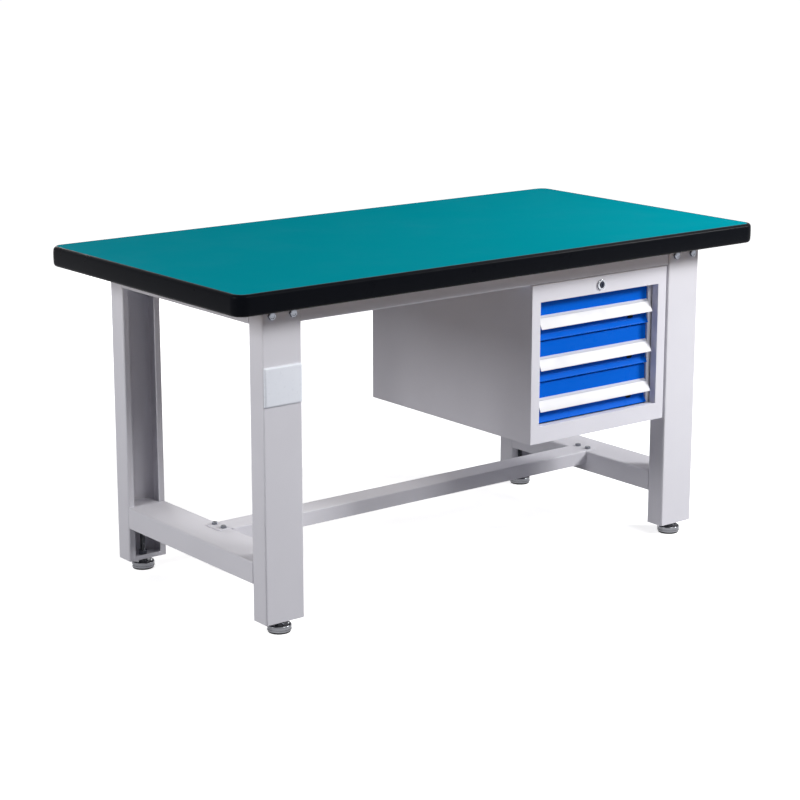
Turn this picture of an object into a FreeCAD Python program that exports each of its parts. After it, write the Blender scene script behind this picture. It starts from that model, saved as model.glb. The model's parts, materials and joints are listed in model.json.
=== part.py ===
import FreeCAD, Part
import os
import re

import Sketcher

# A heavy workshop bench with a hung cabinet of three drawers, piece by piece, in millimetres.
# The origin is on the floor under the middle of the worktop. X runs along the bench to the
# right, Y from its front to its back, and Z up. The cabinet hangs at the right.

SIZES = (
    ("top_length", 1500, "worktop along X, over the edge band"),
    ("top_depth", 770, "worktop along Y, over the edge band"),
    ("bench_height", 770, "floor to work surface, feet screwed in"),
    ("core_thickness", 44, "board under the work surface"),
    ("sheet_thickness", 2, "work surface sheet"),
    ("band_thickness", 10, "edge band, seen from above"),
    ("band_round", 8, "rounding of the band's upper and lower edge"),
    ("corner_radius", 30, "worktop corner, seen from above"),
    ("leg_inset", 112, "worktop end to the side of a leg"),
    ("leg_setback", 80, "worktop front edge to the face of a leg"),
    ("leg_width", 100, "leg along X"),
    ("leg_depth", 50, "leg along Y"),
    ("leg_gauge", 3, "leg sheet"),
    ("leg_lip", 16, "inturned lip of a leg"),
    ("leg_bend", 4, "outer bend of a leg"),
    ("leg_bottom", 28, "floor to the lower end of a leg"),
    ("base_thickness", 5, "plate that closes a leg below"),
    ("base_lip", 10, "upturned lip of that plate"),
    ("rail_top", 160, "floor to the top of a lower end rail"),
    ("rail_height", 50, "lower end rail"),
    ("rail_gauge", 3, "end rail sheet"),
    ("rail_bend", 4, "outer bend of an end rail"),
    ("tongue_gap", 1, "rail tongue to the lips it passes"),
    ("apron_height", 45, "apron and upper end rail"),
    ("apron_gauge", 3, "apron sheet"),
    ("apron_bend", 4, "outer bend of an apron"),
    ("apron_gap", 4, "apron flange to the lips of a leg"),
    ("apron_end_gap", 1, "apron end to the outer side of a leg"),
    ("notch_drop", 0.3, "notch in a leg, below the apron"),
    ("stretcher_width", 64, "long stretcher along Y"),
    ("stretcher_height", 34, "long stretcher along Z"),
    ("stretcher_gauge", 2.5, "long stretcher sheet"),
    ("stretcher_bend", 3, "outer bend of the long stretcher"),
    ("stretcher_lap", 34, "end tab of the stretcher on a rail"),
    ("stretcher_gap", 1, "stretcher side to a rail"),
    ("label_height", 85, "blank plate on the front left leg"),
    ("label_margin", 2, "blank plate to the side of the leg"),
    ("label_thickness", 5, "blank plate"),
    ("label_drop", 151.5, "apron bolts to the middle of the blank plate"),
    ("bolt_radius", 5, "apron bolt shank"),
    ("bolt_flats", 16, "apron bolt head across flats"),
    ("bolt_head", 6.5, "apron bolt head height"),
    ("bolt_nut", 8, "apron nut height"),
    ("bolt_offset", 27, "apron bolt to the middle of the leg"),
    ("small_radius", 4, "shank of the stretcher and hanging bolts"),
    ("small_flats", 13, "their heads across flats"),
    ("small_head", 5.5, "their head height"),
    ("small_nut", 6.5, "their nut height"),
    ("small_grip", 14, "their shank under the head"),
    ("stretcher_bolt_offset", 18, "stretcher bolt to the middle of the stretcher"),
    ("stretcher_bolt_inset", 17, "stretcher bolt to the inner side of a rail"),
    ("hanger_inset", 63, "hanging bolt to the side of the cabinet"),
    ("hole_gap", 0.25, "shank to the wall of its hole"),
    ("thread_gap", 0.1, "stud or shank to the wall of its nut"),
    ("screw_radius", 2.5, "top fixing screw"),
    ("screw_head_radius", 6, "top fixing screw head"),
    ("screw_head", 4, "top fixing screw head height"),
    ("screw_bite", 25, "top fixing screw in the board"),
    ("screw_spread", 420, "outer apron screws to the middle of the bench"),
    ("screw_rail_offset", 150, "end rail screws to the middle of the bench"),
    ("pad_radius", 25, "rubber pad under a foot"),
    ("pad_thickness", 4, "rubber pad under a foot"),
    ("foot_radius", 27, "steel base of a foot"),
    ("foot_height", 14, "steel base of a foot"),
    ("foot_round", 3, "rounded shoulder of that base"),
    ("collar_radius", 11, "collar on that base, under the lock nut"),
    ("stud_radius", 6, "foot stud"),
    ("stud_top", 100, "floor to the top of the stud"),
    ("stud_flats", 19, "lock nut and weld nut across flats"),
    ("lock_nut", 7, "lock nut height"),
    ("weld_nut", 10, "weld nut height"),
    ("cabinet_width", 426, "cabinet along X"),
    ("cabinet_height", 374, "cabinet along Z"),
    ("cabinet_gap", 7, "cabinet to the right leg"),
    ("cabinet_back_gap", 10, "cabinet back to the face of the rear leg"),
    ("cabinet_gauge", 1.5, "cabinet sheet"),
    ("stile_width", 26, "upright of the front frame"),
    ("top_rail_height", 41, "upper rail of the front frame"),
    ("bottom_rail_height", 40, "lower rail of the front frame"),
    ("jamb_depth", 20, "inturned edge of the front frame"),
    ("post_width", 34, "slide post along X"),
    ("post_depth", 39, "slide post along Y"),
    ("post_setback", 24, "cabinet front to the front slide posts"),
    ("post_overlap", 5, "end of a slide past its rear post"),
    ("slide_thickness", 13, "drawer slide along X"),
    ("slide_height", 45, "drawer slide along Z"),
    ("slide_gauge", 1.2, "drawer slide sheet"),
    ("slide_front_gap", 2.5, "flange of a drawer front to the slide"),
    ("slide_rear_gap", 56, "slide to the cabinet back"),
    ("slide_nest", 1.4, "outer member's web to the middle member's"),
    ("slide_open", 3, "outer and middle flanges short of the drawer"),
    ("race_depth", 4.5, "room for the balls between two members"),
    ("race_width", 4, "ball cage along X"),
    ("run_gap", 0.2, "ball cage to the member that runs on it"),
    ("cage_length", 240, "ball cage along Y"),
    ("cage_end", 15, "ball cage to the end of its slide"),
    ("front_setback", 28, "cabinet front to a drawer front"),
    ("front_gauge", 1.5, "drawer front sheet"),
    ("front_side_gap", 1.5, "drawer front to a slide post"),
    ("front_flange", 12, "inturned edge of a drawer front"),
    ("drawer_gap", 4, "between two drawer fronts"),
    ("kick_height", 13, "sloped foot of a drawer front"),
    ("kick_forward", 8, "how far that foot comes forward"),
    ("kick_edge", 2.5, "upright edge under the slope"),
    ("handle_rise", 58, "drawer front's lower edge to the top of its handle"),
    ("ledge_forward", 9, "upper ledge of the handle"),
    ("ledge_drop", 5, "fall of that ledge"),
    ("grip_forward", 13, "sloped grip of the handle"),
    ("grip_drop", 24, "fall of that grip"),
    ("handle_wall", 2.2, "handle section"),
    ("handle_flange", 18, "part of the handle on the drawer front"),
    ("handle_root", 3.3, "handle section where its ledge meets that part"),
    ("box_gauge", 1.2, "drawer box sheet"),
    ("box_floor", 6, "drawer front's lower edge to the drawer box"),
    ("box_headroom", 22, "drawer front's upper edge to the drawer box"),
    ("box_back_gap", 40, "drawer box to the cabinet back"),
    ("catch_drop", 22, "drawer box top to its lock catch"),
    ("catch_reach", 25, "lock catch behind the drawer box"),
    ("catch_height", 14, "upturned lip of the lock catch"),
    ("catch_width", 30, "lock catch along X"),
    ("catch_gauge", 1.5, "lock catch sheet"),
    ("bezel_radius", 12.5, "lock bezel"),
    ("bezel_height", 4, "lock bezel"),
    ("bezel_round", 1.2, "rounded rim of the bezel"),
    ("barrel_radius", 9.5, "lock barrel"),
    ("barrel_length", 24, "lock barrel behind the cabinet front"),
    ("plug_radius", 6.5, "turning plug of the lock"),
    ("plug_proud", 0.8, "plug in front of the bezel"),
    ("plug_tail", 3, "plug behind the barrel"),
    ("keyway_width", 1.8, "key slot"),
    ("keyway_height", 8, "key slot"),
    ("keyway_depth", 6, "key slot"),
    ("lock_nut_radius", 14, "fixing nut of the lock"),
    ("lock_nut_height", 4, "fixing nut of the lock"),
    ("rod_radius", 3, "drive rod"),
    ("crank_radius", 10, "crank, from the rod to its pin"),
    ("crank_width", 10, "crank arm"),
    ("crank_thickness", 3, "crank arm"),
    ("crank_gap", 2.5, "crank to the lock bar"),
    ("pin_radius", 2, "crank pin"),
    ("pin_gap", 0.5, "crank pin to its slot in the lock bar"),
    ("bar_width", 24, "lock bar"),
    ("bar_thickness", 3, "lock bar"),
    ("bar_gap", 1, "lock bar to the cabinet back"),
    ("bar_head", 6, "lock bar above its slot"),
    ("bar_foot", 40, "lock bar below its lowest hook"),
    ("hook_reach", 21.5, "hook in front of the lock bar"),
    ("hook_width", 12, "hook along X"),
    ("hook_thickness", 3, "hook tooth"),
    ("hook_arm", 6, "hook arm"),
    ("hook_drop", 14, "hook tooth under its arm"),
    ("latch_gap", 3, "hook tooth over the lip of a catch, unlocked"),
    ("guide_gauge", 1.5, "strap that guides the lock bar"),
    ("guide_gap", 0.3, "strap to the lock bar"),
    ("guide_ear", 10, "ear of that strap"),
    ("guide_height", 15, "that strap along Z"),
    ("guide_drop", 14, "strap below a drawer's catch"),
    ("bearing_gauge", 2, "hanger that carries the drive rod"),
    ("bearing_width", 24, "hanger along X"),
    ("bearing_depth", 14, "foot of the hanger, along Y"),
    ("bearing_gap", 12, "hanger in front of the crank"),
)

DRAWERS = (1, 2, 3)
SIDES = (("left", -1), ("right", 1))
ENDS = (("front", -1), ("rear", 1))
CRANK_LEAN = 45
SAME_LENGTH = 0.01
SAME_WAY = 0.999
AXIS_TURNS = {
    "x": FreeCAD.Rotation(FreeCAD.Vector(0, 1, 0), 90),
    "y": FreeCAD.Rotation(FreeCAD.Vector(1, 0, 0), -90),
    "z": FreeCAD.Rotation(),
}

document = FreeCAD.newDocument("workbench")
sheet = document.addObject("Spreadsheet::Sheet", "Sizes")
for row, (alias, number, meaning) in enumerate(SIZES, 1):
    sheet.set(f"A{row}", alias)
    sheet.set(f"B{row}", str(number))
    sheet.set(f"C{row}", meaning)
    sheet.setAlias(f"B{row}", alias)
document.recompute()

SIZE_NAME = re.compile(r"\b(" + "|".join(alias for alias, _, _ in SIZES) + r")\b")
nodes = []


def bind(formula):
    """The formula with each size's plain name turned into a reference to its cell."""
    return SIZE_NAME.sub(r"Sizes.\1", str(formula))


def worth(formula):
    """The number that a formula stands for."""
    return float(sheet.evalExpression(bind(formula)))


def node(item):
    """Count a finished object as one of the bench's sub-parts."""
    nodes.append(item)
    return item


def place(item, x=0, y=0, z=0):
    """Tie an object's position to the sheet."""
    for axis, formula in zip("xyz", (x, y, z)):
        item.setExpression(f"Placement.Base.{axis}", bind(formula))


def box(name, low, high):
    """A block between two corners."""
    item = document.addObject("Part::Box", name)
    for side, start, end in zip(("Length", "Width", "Height"), low, high):
        item.setExpression(side, bind(f"({end}) - ({start})"))
    place(item, *low)
    return item


def along(axis, centre, start):
    """The start point of a round or six-sided piece that runs along an axis."""
    first, second = centre
    return {"x": (start, first, second), "y": (first, start, second), "z": (first, second, start)}[axis]


def cylinder(name, axis, centre, radius, start, end):
    """A round bar along an axis, from start to end."""
    item = document.addObject("Part::Cylinder", name)
    item.setExpression("Radius", bind(radius))
    item.setExpression("Height", bind(f"({end}) - ({start})"))
    item.Placement = FreeCAD.Placement(FreeCAD.Vector(), AXIS_TURNS[axis])
    place(item, *along(axis, centre, start))
    return item


def hexagon(name, axis, centre, flats, start, end):
    """A six-sided bar along an axis, from start to end."""
    item = document.addObject("Part::Prism", name)
    item.Polygon = 6
    item.setExpression("Circumradius", bind(f"({flats}) / sqrt(3)"))
    item.setExpression("Height", bind(f"({end}) - ({start})"))
    item.Placement = FreeCAD.Placement(FreeCAD.Vector(), AXIS_TURNS[axis])
    place(item, *along(axis, centre, start))
    return item


def group(name, items):
    """Separate solids that share one name."""
    item = document.addObject("Part::Compound", name)
    item.Links = items
    return item


def fuse(name, items):
    """One solid out of several."""
    item = document.addObject("Part::MultiFuse", name)
    item.Shapes = items
    item.Refine = True
    return item


def cut(name, base, tools):
    """A solid with tools taken away from it."""
    item = document.addObject("Part::Cut", name)
    item.Base = base
    item.Tool = group(f"{name}_tools", tools) if len(tools) > 1 else tools[0]
    return item


def outline(sketch, corners):
    """Add a closed run of straight edges whose corners are tied to the sheet."""
    first = sketch.GeometryCount
    points = [FreeCAD.Vector(worth(across), worth(up), 0) for across, up in corners]
    for start, end in zip(points, points[1:] + points[:1]):
        sketch.addGeometry(Part.LineSegment(start, end))
    for step, corner in enumerate(corners):
        edge = first + step
        before = first + (step - 1) % len(corners)
        sketch.addConstraint(Sketcher.Constraint("Coincident", before, 2, edge, 1))
        for kind, formula in zip(("DistanceX", "DistanceY"), corner):
            number = sketch.addConstraint(Sketcher.Constraint(kind, -1, 1, edge, 1, worth(formula)))
            sketch.renameConstraint(number, f"{kind}{edge}")
            sketch.setExpression(f"Constraints.{kind}{edge}", bind(formula))


def drawn(body, plane, *loops):
    """A sketch of closed outlines on one of a body's own planes."""
    sketch = body.newObject("Sketcher::SketchObject", f"{body.Name}_sketch")
    base = next(item for item in body.Origin.OriginFeatures if item.Role == f"{plane}_Plane")
    sketch.AttachmentSupport = [(base, "")]
    sketch.MapMode = "FlatFace"
    for corners in loops:
        outline(sketch, corners)
    return sketch


def pad(body, plane, length, *loops, middle=False):
    """Material of a drawn section, on one side of its plane or on both."""
    sketch = drawn(body, plane, *loops)
    feature = body.newObject("PartDesign::Pad", f"{body.Name}_pad")
    feature.Profile = sketch
    feature.setExpression("Length", bind(length))
    feature.Midplane = middle
    return feature


def section(name, plane, length, *loops, middle=True):
    """A body of one drawn section."""
    body = document.addObject("PartDesign::Body", name)
    pad(body, plane, length, *loops, middle=middle)
    return body


def rectangle(low_x, low_y, high_x, high_y):
    """The four corners of a rectangle."""
    return ((low_x, low_y), (high_x, low_y), (high_x, high_y), (low_x, high_y))


def round_edges(body, radius, wanted):
    """Round the edges of a body's last feature that a test picks out."""
    document.recompute()
    feature = body.Tip
    names = [f"Edge{number}" for number, edge in enumerate(feature.Shape.Edges, 1) if wanted(edge)]
    fillet = body.newObject("PartDesign::Fillet", f"{body.Name}_round")
    fillet.Base = (feature, names)
    fillet.setExpression("Radius", bind(radius))
    return fillet


def upright(edge):
    """Whether an edge is a straight one along Z."""
    return len(edge.Vertexes) == 2 and abs(edge.tangentAt(edge.FirstParameter).z) > SAME_WAY


def near(first, second):
    """Whether two lengths are the same."""
    return abs(first - second) < SAME_LENGTH


def round_bends(body, radius, axis, spots):
    """Round the edges along an axis that pass through some places of a section."""
    first, second = [name for name in "xyz" if name != axis]
    places = [(worth(across), worth(up)) for across, up in spots]

    def bend(edge):
        centre = edge.CenterOfMass
        here = (getattr(centre, first), getattr(centre, second))
        lengthways = abs(getattr(edge.tangentAt(edge.FirstParameter), axis)) > SAME_WAY
        return lengthways and any(near(here[0], spot[0]) and near(here[1], spot[1]) for spot in places)

    round_edges(body, radius, bend)


# Places that several pieces share

TOP_UNDER = "(bench_height - sheet_thickness - core_thickness)"
CORE_TOP = "(bench_height - sheet_thickness)"
LEG_X = "(top_length / 2 - leg_inset - leg_width / 2)"
LEG_INNER_X = "(top_length / 2 - leg_inset - leg_width)"
LEG_FACE = "(top_depth / 2 - leg_setback)"
LEG_MOUTH = "(top_depth / 2 - leg_setback - leg_depth)"
FOOT_Y = "(top_depth / 2 - leg_setback - leg_depth / 2)"
APRON_FACE = "(top_depth / 2 - leg_setback - leg_gauge)"
APRON_REACH = "(leg_depth - 2 * leg_gauge - apron_gap)"
APRON_LOW = f"({TOP_UNDER} - apron_height)"
APRON_MIDDLE_Y = f"({APRON_FACE} - {APRON_REACH} / 2)"
BOLT_Z = f"({TOP_UNDER} - apron_height / 2)"
STRETCHER_BOLT_X = f"({LEG_INNER_X} + stretcher_bolt_inset)"

CABINET_RIGHT = f"({LEG_INNER_X} - cabinet_gap)"
CABINET_LEFT = f"({CABINET_RIGHT} - cabinet_width)"
CABINET_X = f"({CABINET_RIGHT} - cabinet_width / 2)"
HANGER_REACH = "(cabinet_width / 2 - hanger_inset)"
CABINET_FRONT = f"(-{LEG_FACE})"
CABINET_BACK = f"({LEG_FACE} - cabinet_back_gap)"
CABINET_LOW = f"({APRON_LOW} - cabinet_height)"
CEILING = f"({APRON_LOW} - cabinet_gauge)"
BACK_INSIDE = f"({CABINET_BACK} - cabinet_gauge)"
OPENING_LOW = f"({CABINET_LOW} + bottom_rail_height)"
OPENING_HIGH = f"({APRON_LOW} - top_rail_height)"
PITCH = f"((cabinet_height - top_rail_height - bottom_rail_height) / {len(DRAWERS)})"
FRONT_FACE = f"({CABINET_FRONT} + front_setback)"
FRONT_BACK = f"({FRONT_FACE} + front_gauge)"
DRAWER_SPACE = "(cabinet_width - 2 * cabinet_gauge - 2 * post_width)"
FRONT_WIDTH = f"({DRAWER_SPACE} - 2 * front_side_gap)"
BOX_HALF = f"({DRAWER_SPACE} / 2 - slide_thickness)"
BOX_END = f"({CABINET_BACK} - box_back_gap)"
BOX_HEIGHT = f"({PITCH} - drawer_gap - box_floor - box_headroom)"
SLIDE_START = f"({FRONT_BACK} + front_flange + slide_front_gap)"
SLIDE_END = f"({CABINET_BACK} - slide_rear_gap)"

LOCK_Z = f"({APRON_LOW} - top_rail_height / 2)"
PLUG_END = f"({CABINET_FRONT} + barrel_length + plug_tail)"
BAR_X = f"({CABINET_X} + crank_radius)"
BAR_BACK = f"({BACK_INSIDE} - bar_gap)"
BAR_FRONT = f"({BAR_BACK} - bar_thickness)"
CRANK_BACK = f"({BAR_FRONT} - crank_gap)"
CRANK_FRONT = f"({CRANK_BACK} - crank_thickness)"
PIN_SWING = f"(crank_radius * sin({CRANK_LEAN} deg))"
PIN_Z = f"({LOCK_Z} + {PIN_SWING})"


def front_low(drawer):
    """The lower edge of a drawer's front. The top drawer is the first."""
    return f"({OPENING_LOW} + {len(DRAWERS) - drawer} * {PITCH} + drawer_gap / 2)"


def box_low(drawer):
    """The underside of a drawer's box."""
    return f"({front_low(drawer)} + box_floor)"


def catch_low(drawer):
    """The underside of the lock catch behind a drawer's box."""
    return f"({box_low(drawer)} + {BOX_HEIGHT} - catch_drop)"


def hook_low(drawer):
    """The lower end of the hook over a drawer's catch, with the lock open."""
    return f"({catch_low(drawer)} + catch_gauge + catch_height + latch_gap)"


def corners():
    """The four legs: name, and which way each lies along X and Y."""
    return [(f"{end}_{side}", sx, sy) for end, sy in ENDS for side, sx in SIDES]


# Worktop

def screw_places():
    """Middle of each top fixing screw, on the aprons' upper flanges and the upper end rails."""
    rows = [f"{sy} * {APRON_MIDDLE_Y}" for end, sy in ENDS]
    aprons = [(f"{step} * screw_spread", row) for row in rows for step in (-1, 0, 1)]
    rails = [(f"{sx} * {LEG_X}", f"{sy} * screw_rail_offset") for sx in (-1, 1) for sy in (-1, 1)]
    return aprons, rails


def board(name, thickness, low):
    """A flat board inside the edge band, with the worktop's round corners."""
    half_x = "(top_length / 2 - band_thickness)"
    half_y = "(top_depth / 2 - band_thickness)"
    body = section(name, "XY", thickness, rectangle(f"-{half_x}", f"-{half_y}", half_x, half_y), middle=False)
    round_edges(body, "corner_radius - band_thickness", upright)
    place(body, z=low)
    return body


def edge_band():
    """The band round the worktop, its outer edges softly rounded."""
    half_x = "(top_length / 2)"
    half_y = "(top_depth / 2)"
    outer = rectangle(f"-{half_x}", f"-{half_y}", half_x, half_y)
    inner_x = "(top_length / 2 - band_thickness)"
    inner_y = "(top_depth / 2 - band_thickness)"
    inner = rectangle(f"-{inner_x}", f"-{inner_y}", inner_x, inner_y)
    height = "core_thickness + sheet_thickness"
    body = section("edge_band", "XY", height, outer, inner, middle=False)
    outside = worth(half_x)
    round_edges(body, "corner_radius", lambda edge: upright(edge) and near(abs(edge.CenterOfMass.x), outside))
    inside = worth(inner_x)
    round_edges(
        body,
        "corner_radius - band_thickness",
        lambda edge: upright(edge) and near(abs(edge.CenterOfMass.x), inside),
    )

    def outer_rim(edge):
        limits = edge.BoundBox
        reach_x = max(abs(limits.XMin), abs(limits.XMax))
        reach_y = max(abs(limits.YMin), abs(limits.YMax))
        return near(limits.ZLength, 0) and (near(reach_x, outside) or near(reach_y, worth(half_y)))

    round_edges(body, "band_round", outer_rim)
    place(body, z=TOP_UNDER)
    return body


def worktop():
    """Board, work surface, edge band and the screws that hold the board down."""
    aprons, rails = screw_places()
    pilots = []
    screws = []
    gauges = ["apron_gauge"] * len(aprons) + ["rail_gauge"] * len(rails)
    for number, (centre, gauge) in enumerate(zip(aprons + rails, gauges)):
        bite = f"{TOP_UNDER} + screw_bite"
        under = f"({TOP_UNDER} - {gauge})"
        pilots.append(cylinder(f"pilot_{number}", "z", centre, "screw_radius + thread_gap", TOP_UNDER, bite))
        head_low = f"{under} - screw_head"
        head = cylinder(f"screw_head_{number}", "z", centre, "screw_head_radius", head_low, under)
        shank = cylinder(f"screw_shank_{number}", "z", centre, "screw_radius", under, bite)
        screws.append(fuse(f"screw_{number}", [head, shank]))
    node(cut("top_core", board("top_core_blank", "core_thickness", TOP_UNDER), pilots))
    node(board("top_surface_sheet", "sheet_thickness", CORE_TOP))
    node(edge_band())
    node(group("top_fixing_screws", screws))


# Frame

def leg(corner, sx, sy):
    """A lipped channel, its web outward, notched at the top for the apron and drilled for its bolts."""
    half = "leg_width / 2"
    lips = (
        (f"-{half}", "0"),
        (half, "0"),
        (half, "leg_depth"),
        (f"{half} - leg_lip", "leg_depth"),
        (f"{half} - leg_lip", "leg_depth - leg_gauge"),
        (f"{half} - leg_gauge", "leg_depth - leg_gauge"),
        (f"{half} - leg_gauge", "leg_gauge"),
        (f"-{half} + leg_gauge", "leg_gauge"),
        (f"-{half} + leg_gauge", "leg_depth - leg_gauge"),
        (f"-{half} + leg_lip", "leg_depth - leg_gauge"),
        (f"-{half} + leg_lip", "leg_depth"),
        (f"-{half}", "leg_depth"),
    )
    profile = [(f"{sx} * {LEG_X} + {across}", f"{sy} * ({LEG_FACE} - ({deep}))") for across, deep in lips]
    body = section(f"leg_{corner}_blank", "XY", f"{TOP_UNDER} - leg_bottom", profile, middle=False)
    middle_x = worth(f"{sx} * {LEG_X}")
    side = worth(half)
    ends = (worth(f"{sy} * {LEG_FACE}"), worth(f"{sy} * {LEG_MOUTH}"))

    def outer_bend(edge):
        centre = edge.CenterOfMass
        at_side = near(abs(centre.x - middle_x), side)
        return upright(edge) and at_side and any(near(centre.y, end) for end in ends)

    round_edges(body, "leg_bend", outer_bend)
    place(body, z="leg_bottom")
    inner = f"{sx} * {LEG_INNER_X}"
    notch_x = sorted((inner, f"{sx} * ({LEG_INNER_X} + leg_lip + tongue_gap)"), key=worth)
    notch_y = sorted((f"{sy} * {APRON_FACE}", f"{sy} * {LEG_MOUTH}"), key=worth)
    notch_low = f"{APRON_LOW} - notch_drop"
    notch_start = (notch_x[0], notch_y[0], notch_low)
    notch_end = (notch_x[1], notch_y[1], TOP_UNDER)
    notch = box(f"leg_{corner}_notch", notch_start, notch_end)
    tools = [notch]
    web = sorted((f"{sy} * {LEG_FACE}", f"{sy} * {APRON_FACE}"), key=worth)
    for number, step in enumerate((-1, 1)):
        centre = (f"{sx} * {LEG_X} + {step} * bolt_offset", BOLT_Z)
        tools.append(cylinder(f"leg_{corner}_hole_{number}", "y", centre, "bolt_radius + hole_gap", *web))
    return cut(f"leg_{corner}", body, tools)


def base_plate(corner, sx, sy):
    """The plate that closes a leg below, with an upturned lip across the leg's open side."""
    half = "(leg_width / 2 - leg_gauge)"
    lip_half = "(leg_width / 2 - leg_lip)"
    middle = f"{sx} * {LEG_X}"
    flat_y = sorted((f"{sy} * {APRON_FACE}", f"{sy} * ({LEG_MOUTH} + leg_gauge)"), key=worth)
    lip_y = sorted((f"{sy} * ({LEG_MOUTH} + leg_gauge)", f"{sy} * {LEG_MOUTH}"), key=worth)
    top = "(leg_bottom + base_thickness)"
    flat = box(f"base_flat_{corner}", (f"{middle} - {half}", flat_y[0], "leg_bottom"),
               (f"{middle} + {half}", flat_y[1], top))
    lip = box(f"base_lip_{corner}", (f"{middle} - {lip_half}", lip_y[0], "leg_bottom"),
              (f"{middle} + {lip_half}", lip_y[1], "leg_bottom + base_lip"))
    plate = fuse(f"base_blank_{corner}", [flat, lip])
    centre = (middle, f"{sy} * {FOOT_Y}")
    hole = cylinder(f"base_hole_{corner}", "z", centre, "stud_radius + hole_gap", "leg_bottom", top)
    return cut(f"base_plate_{corner}", plate, [hole])


def channel(middle, low, height, half_width, gauge):
    """The section of a channel that is open below."""
    top = f"({low} + {height})"
    return (
        (f"{middle} - {half_width}", low),
        (f"{middle} - {half_width} + {gauge}", low),
        (f"{middle} - {half_width} + {gauge}", f"{top} - {gauge}"),
        (f"{middle} + {half_width} - {gauge}", f"{top} - {gauge}"),
        (f"{middle} + {half_width} - {gauge}", low),
        (f"{middle} + {half_width}", low),
        (f"{middle} + {half_width}", top),
        (f"{middle} - {half_width}", top),
    )


def lower_end_rail(side, sx):
    """A rail between two legs, whose upper wall runs on into both legs as a tongue."""
    middle = f"{sx} * {LEG_X}"
    profile = channel(middle, "(rail_top - rail_height)", "rail_height", "leg_width / 2", "rail_gauge")
    rail = section(f"lower_end_rail_{side}_blank", "XZ", f"2 * {LEG_MOUTH}", profile)
    corners = [(f"{middle} + {step} * leg_width / 2", "rail_top") for step in (-1, 1)]
    round_bends(rail, "rail_bend", "y", corners)
    half = "(leg_width / 2 - leg_lip - tongue_gap)"
    tongue = box(f"tongue_{side}", (f"{middle} - {half}", f"-{APRON_FACE}", "rail_top - rail_gauge"),
                 (f"{middle} + {half}", APRON_FACE, "rail_top"))
    holes = []
    for number, step in enumerate((-1, 1)):
        centre = (f"{sx} * {STRETCHER_BOLT_X}", f"{step} * stretcher_bolt_offset")
        holes.append(cylinder(f"lower_end_rail_{side}_hole_{number}", "z", centre, "small_radius + hole_gap",
                              "rail_top - rail_gauge", "rail_top"))
    return cut(f"lower_end_rail_{side}", fuse(f"lower_end_rail_{side}_whole", [rail, tongue]), holes)


def upper_end_rail(side, sx):
    """A rail under the board, between the tops of two legs."""
    middle = f"{sx} * {LEG_X}"
    profile = channel(middle, APRON_LOW, "apron_height", "leg_width / 2", "rail_gauge")
    rail = section(f"upper_end_rail_{side}_blank", "XZ", f"2 * {LEG_MOUTH}", profile)
    corners = [(f"{middle} + {step} * leg_width / 2", TOP_UNDER) for step in (-1, 1)]
    round_bends(rail, "rail_bend", "y", corners)
    holes = []
    for number, step in enumerate((-1, 1)):
        centre = (f"{sx} * {LEG_X}", f"{step} * screw_rail_offset")
        holes.append(cylinder(f"upper_end_rail_{side}_hole_{number}", "z", centre, "screw_radius + hole_gap",
                              f"{TOP_UNDER} - rail_gauge", TOP_UNDER))
    return cut(f"upper_end_rail_{side}", rail, holes)


def apron(end, sy):
    """A long channel inside the legs' webs, open to the inside of the bench."""
    inner = f"({APRON_FACE} - {APRON_REACH})"
    shape = (
        (APRON_FACE, APRON_LOW),
        (APRON_FACE, TOP_UNDER),
        (inner, TOP_UNDER),
        (inner, f"{TOP_UNDER} - apron_gauge"),
        (f"{APRON_FACE} - apron_gauge", f"{TOP_UNDER} - apron_gauge"),
        (f"{APRON_FACE} - apron_gauge", f"{APRON_LOW} + apron_gauge"),
        (inner, f"{APRON_LOW} + apron_gauge"),
        (inner, APRON_LOW),
    )
    length = "top_length - 2 * (leg_inset + leg_gauge + apron_end_gap)"
    body = section(f"apron_{end}_blank", "YZ", length, [(f"{sy} * ({deep})", up) for deep, up in shape])
    round_bends(body, "apron_bend", "x", [(f"{sy} * {APRON_FACE}", up) for up in (APRON_LOW, TOP_UNDER)])
    web = sorted((f"{sy} * {APRON_FACE}", f"{sy} * ({APRON_FACE} - apron_gauge)"), key=worth)
    tools = []
    for side, sx in SIDES:
        for number, step in enumerate((-1, 1)):
            centre = (f"{sx} * {LEG_X} + {step} * bolt_offset", BOLT_Z)
            name = f"apron_{end}_{side}_hole_{number}"
            tools.append(cylinder(name, "y", centre, "bolt_radius + hole_gap", *web))
    for number, step in enumerate((-1, 0, 1)):
        centre = (f"{step} * screw_spread", f"{sy} * {APRON_MIDDLE_Y}")
        tools.append(cylinder(f"apron_{end}_screw_hole_{number}", "z", centre, "screw_radius + hole_gap",
                              f"{TOP_UNDER} - apron_gauge", TOP_UNDER))
    for number, step in enumerate((-1, 1)):
        centre = (f"{CABINET_X} + {step} * {HANGER_REACH}", f"{sy} * {APRON_MIDDLE_Y}")
        tools.append(cylinder(f"apron_{end}_hanger_hole_{number}", "z", centre, "small_radius + hole_gap",
                              APRON_LOW, f"{APRON_LOW} + apron_gauge"))
    return cut(f"apron_{end}", body, tools)


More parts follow.
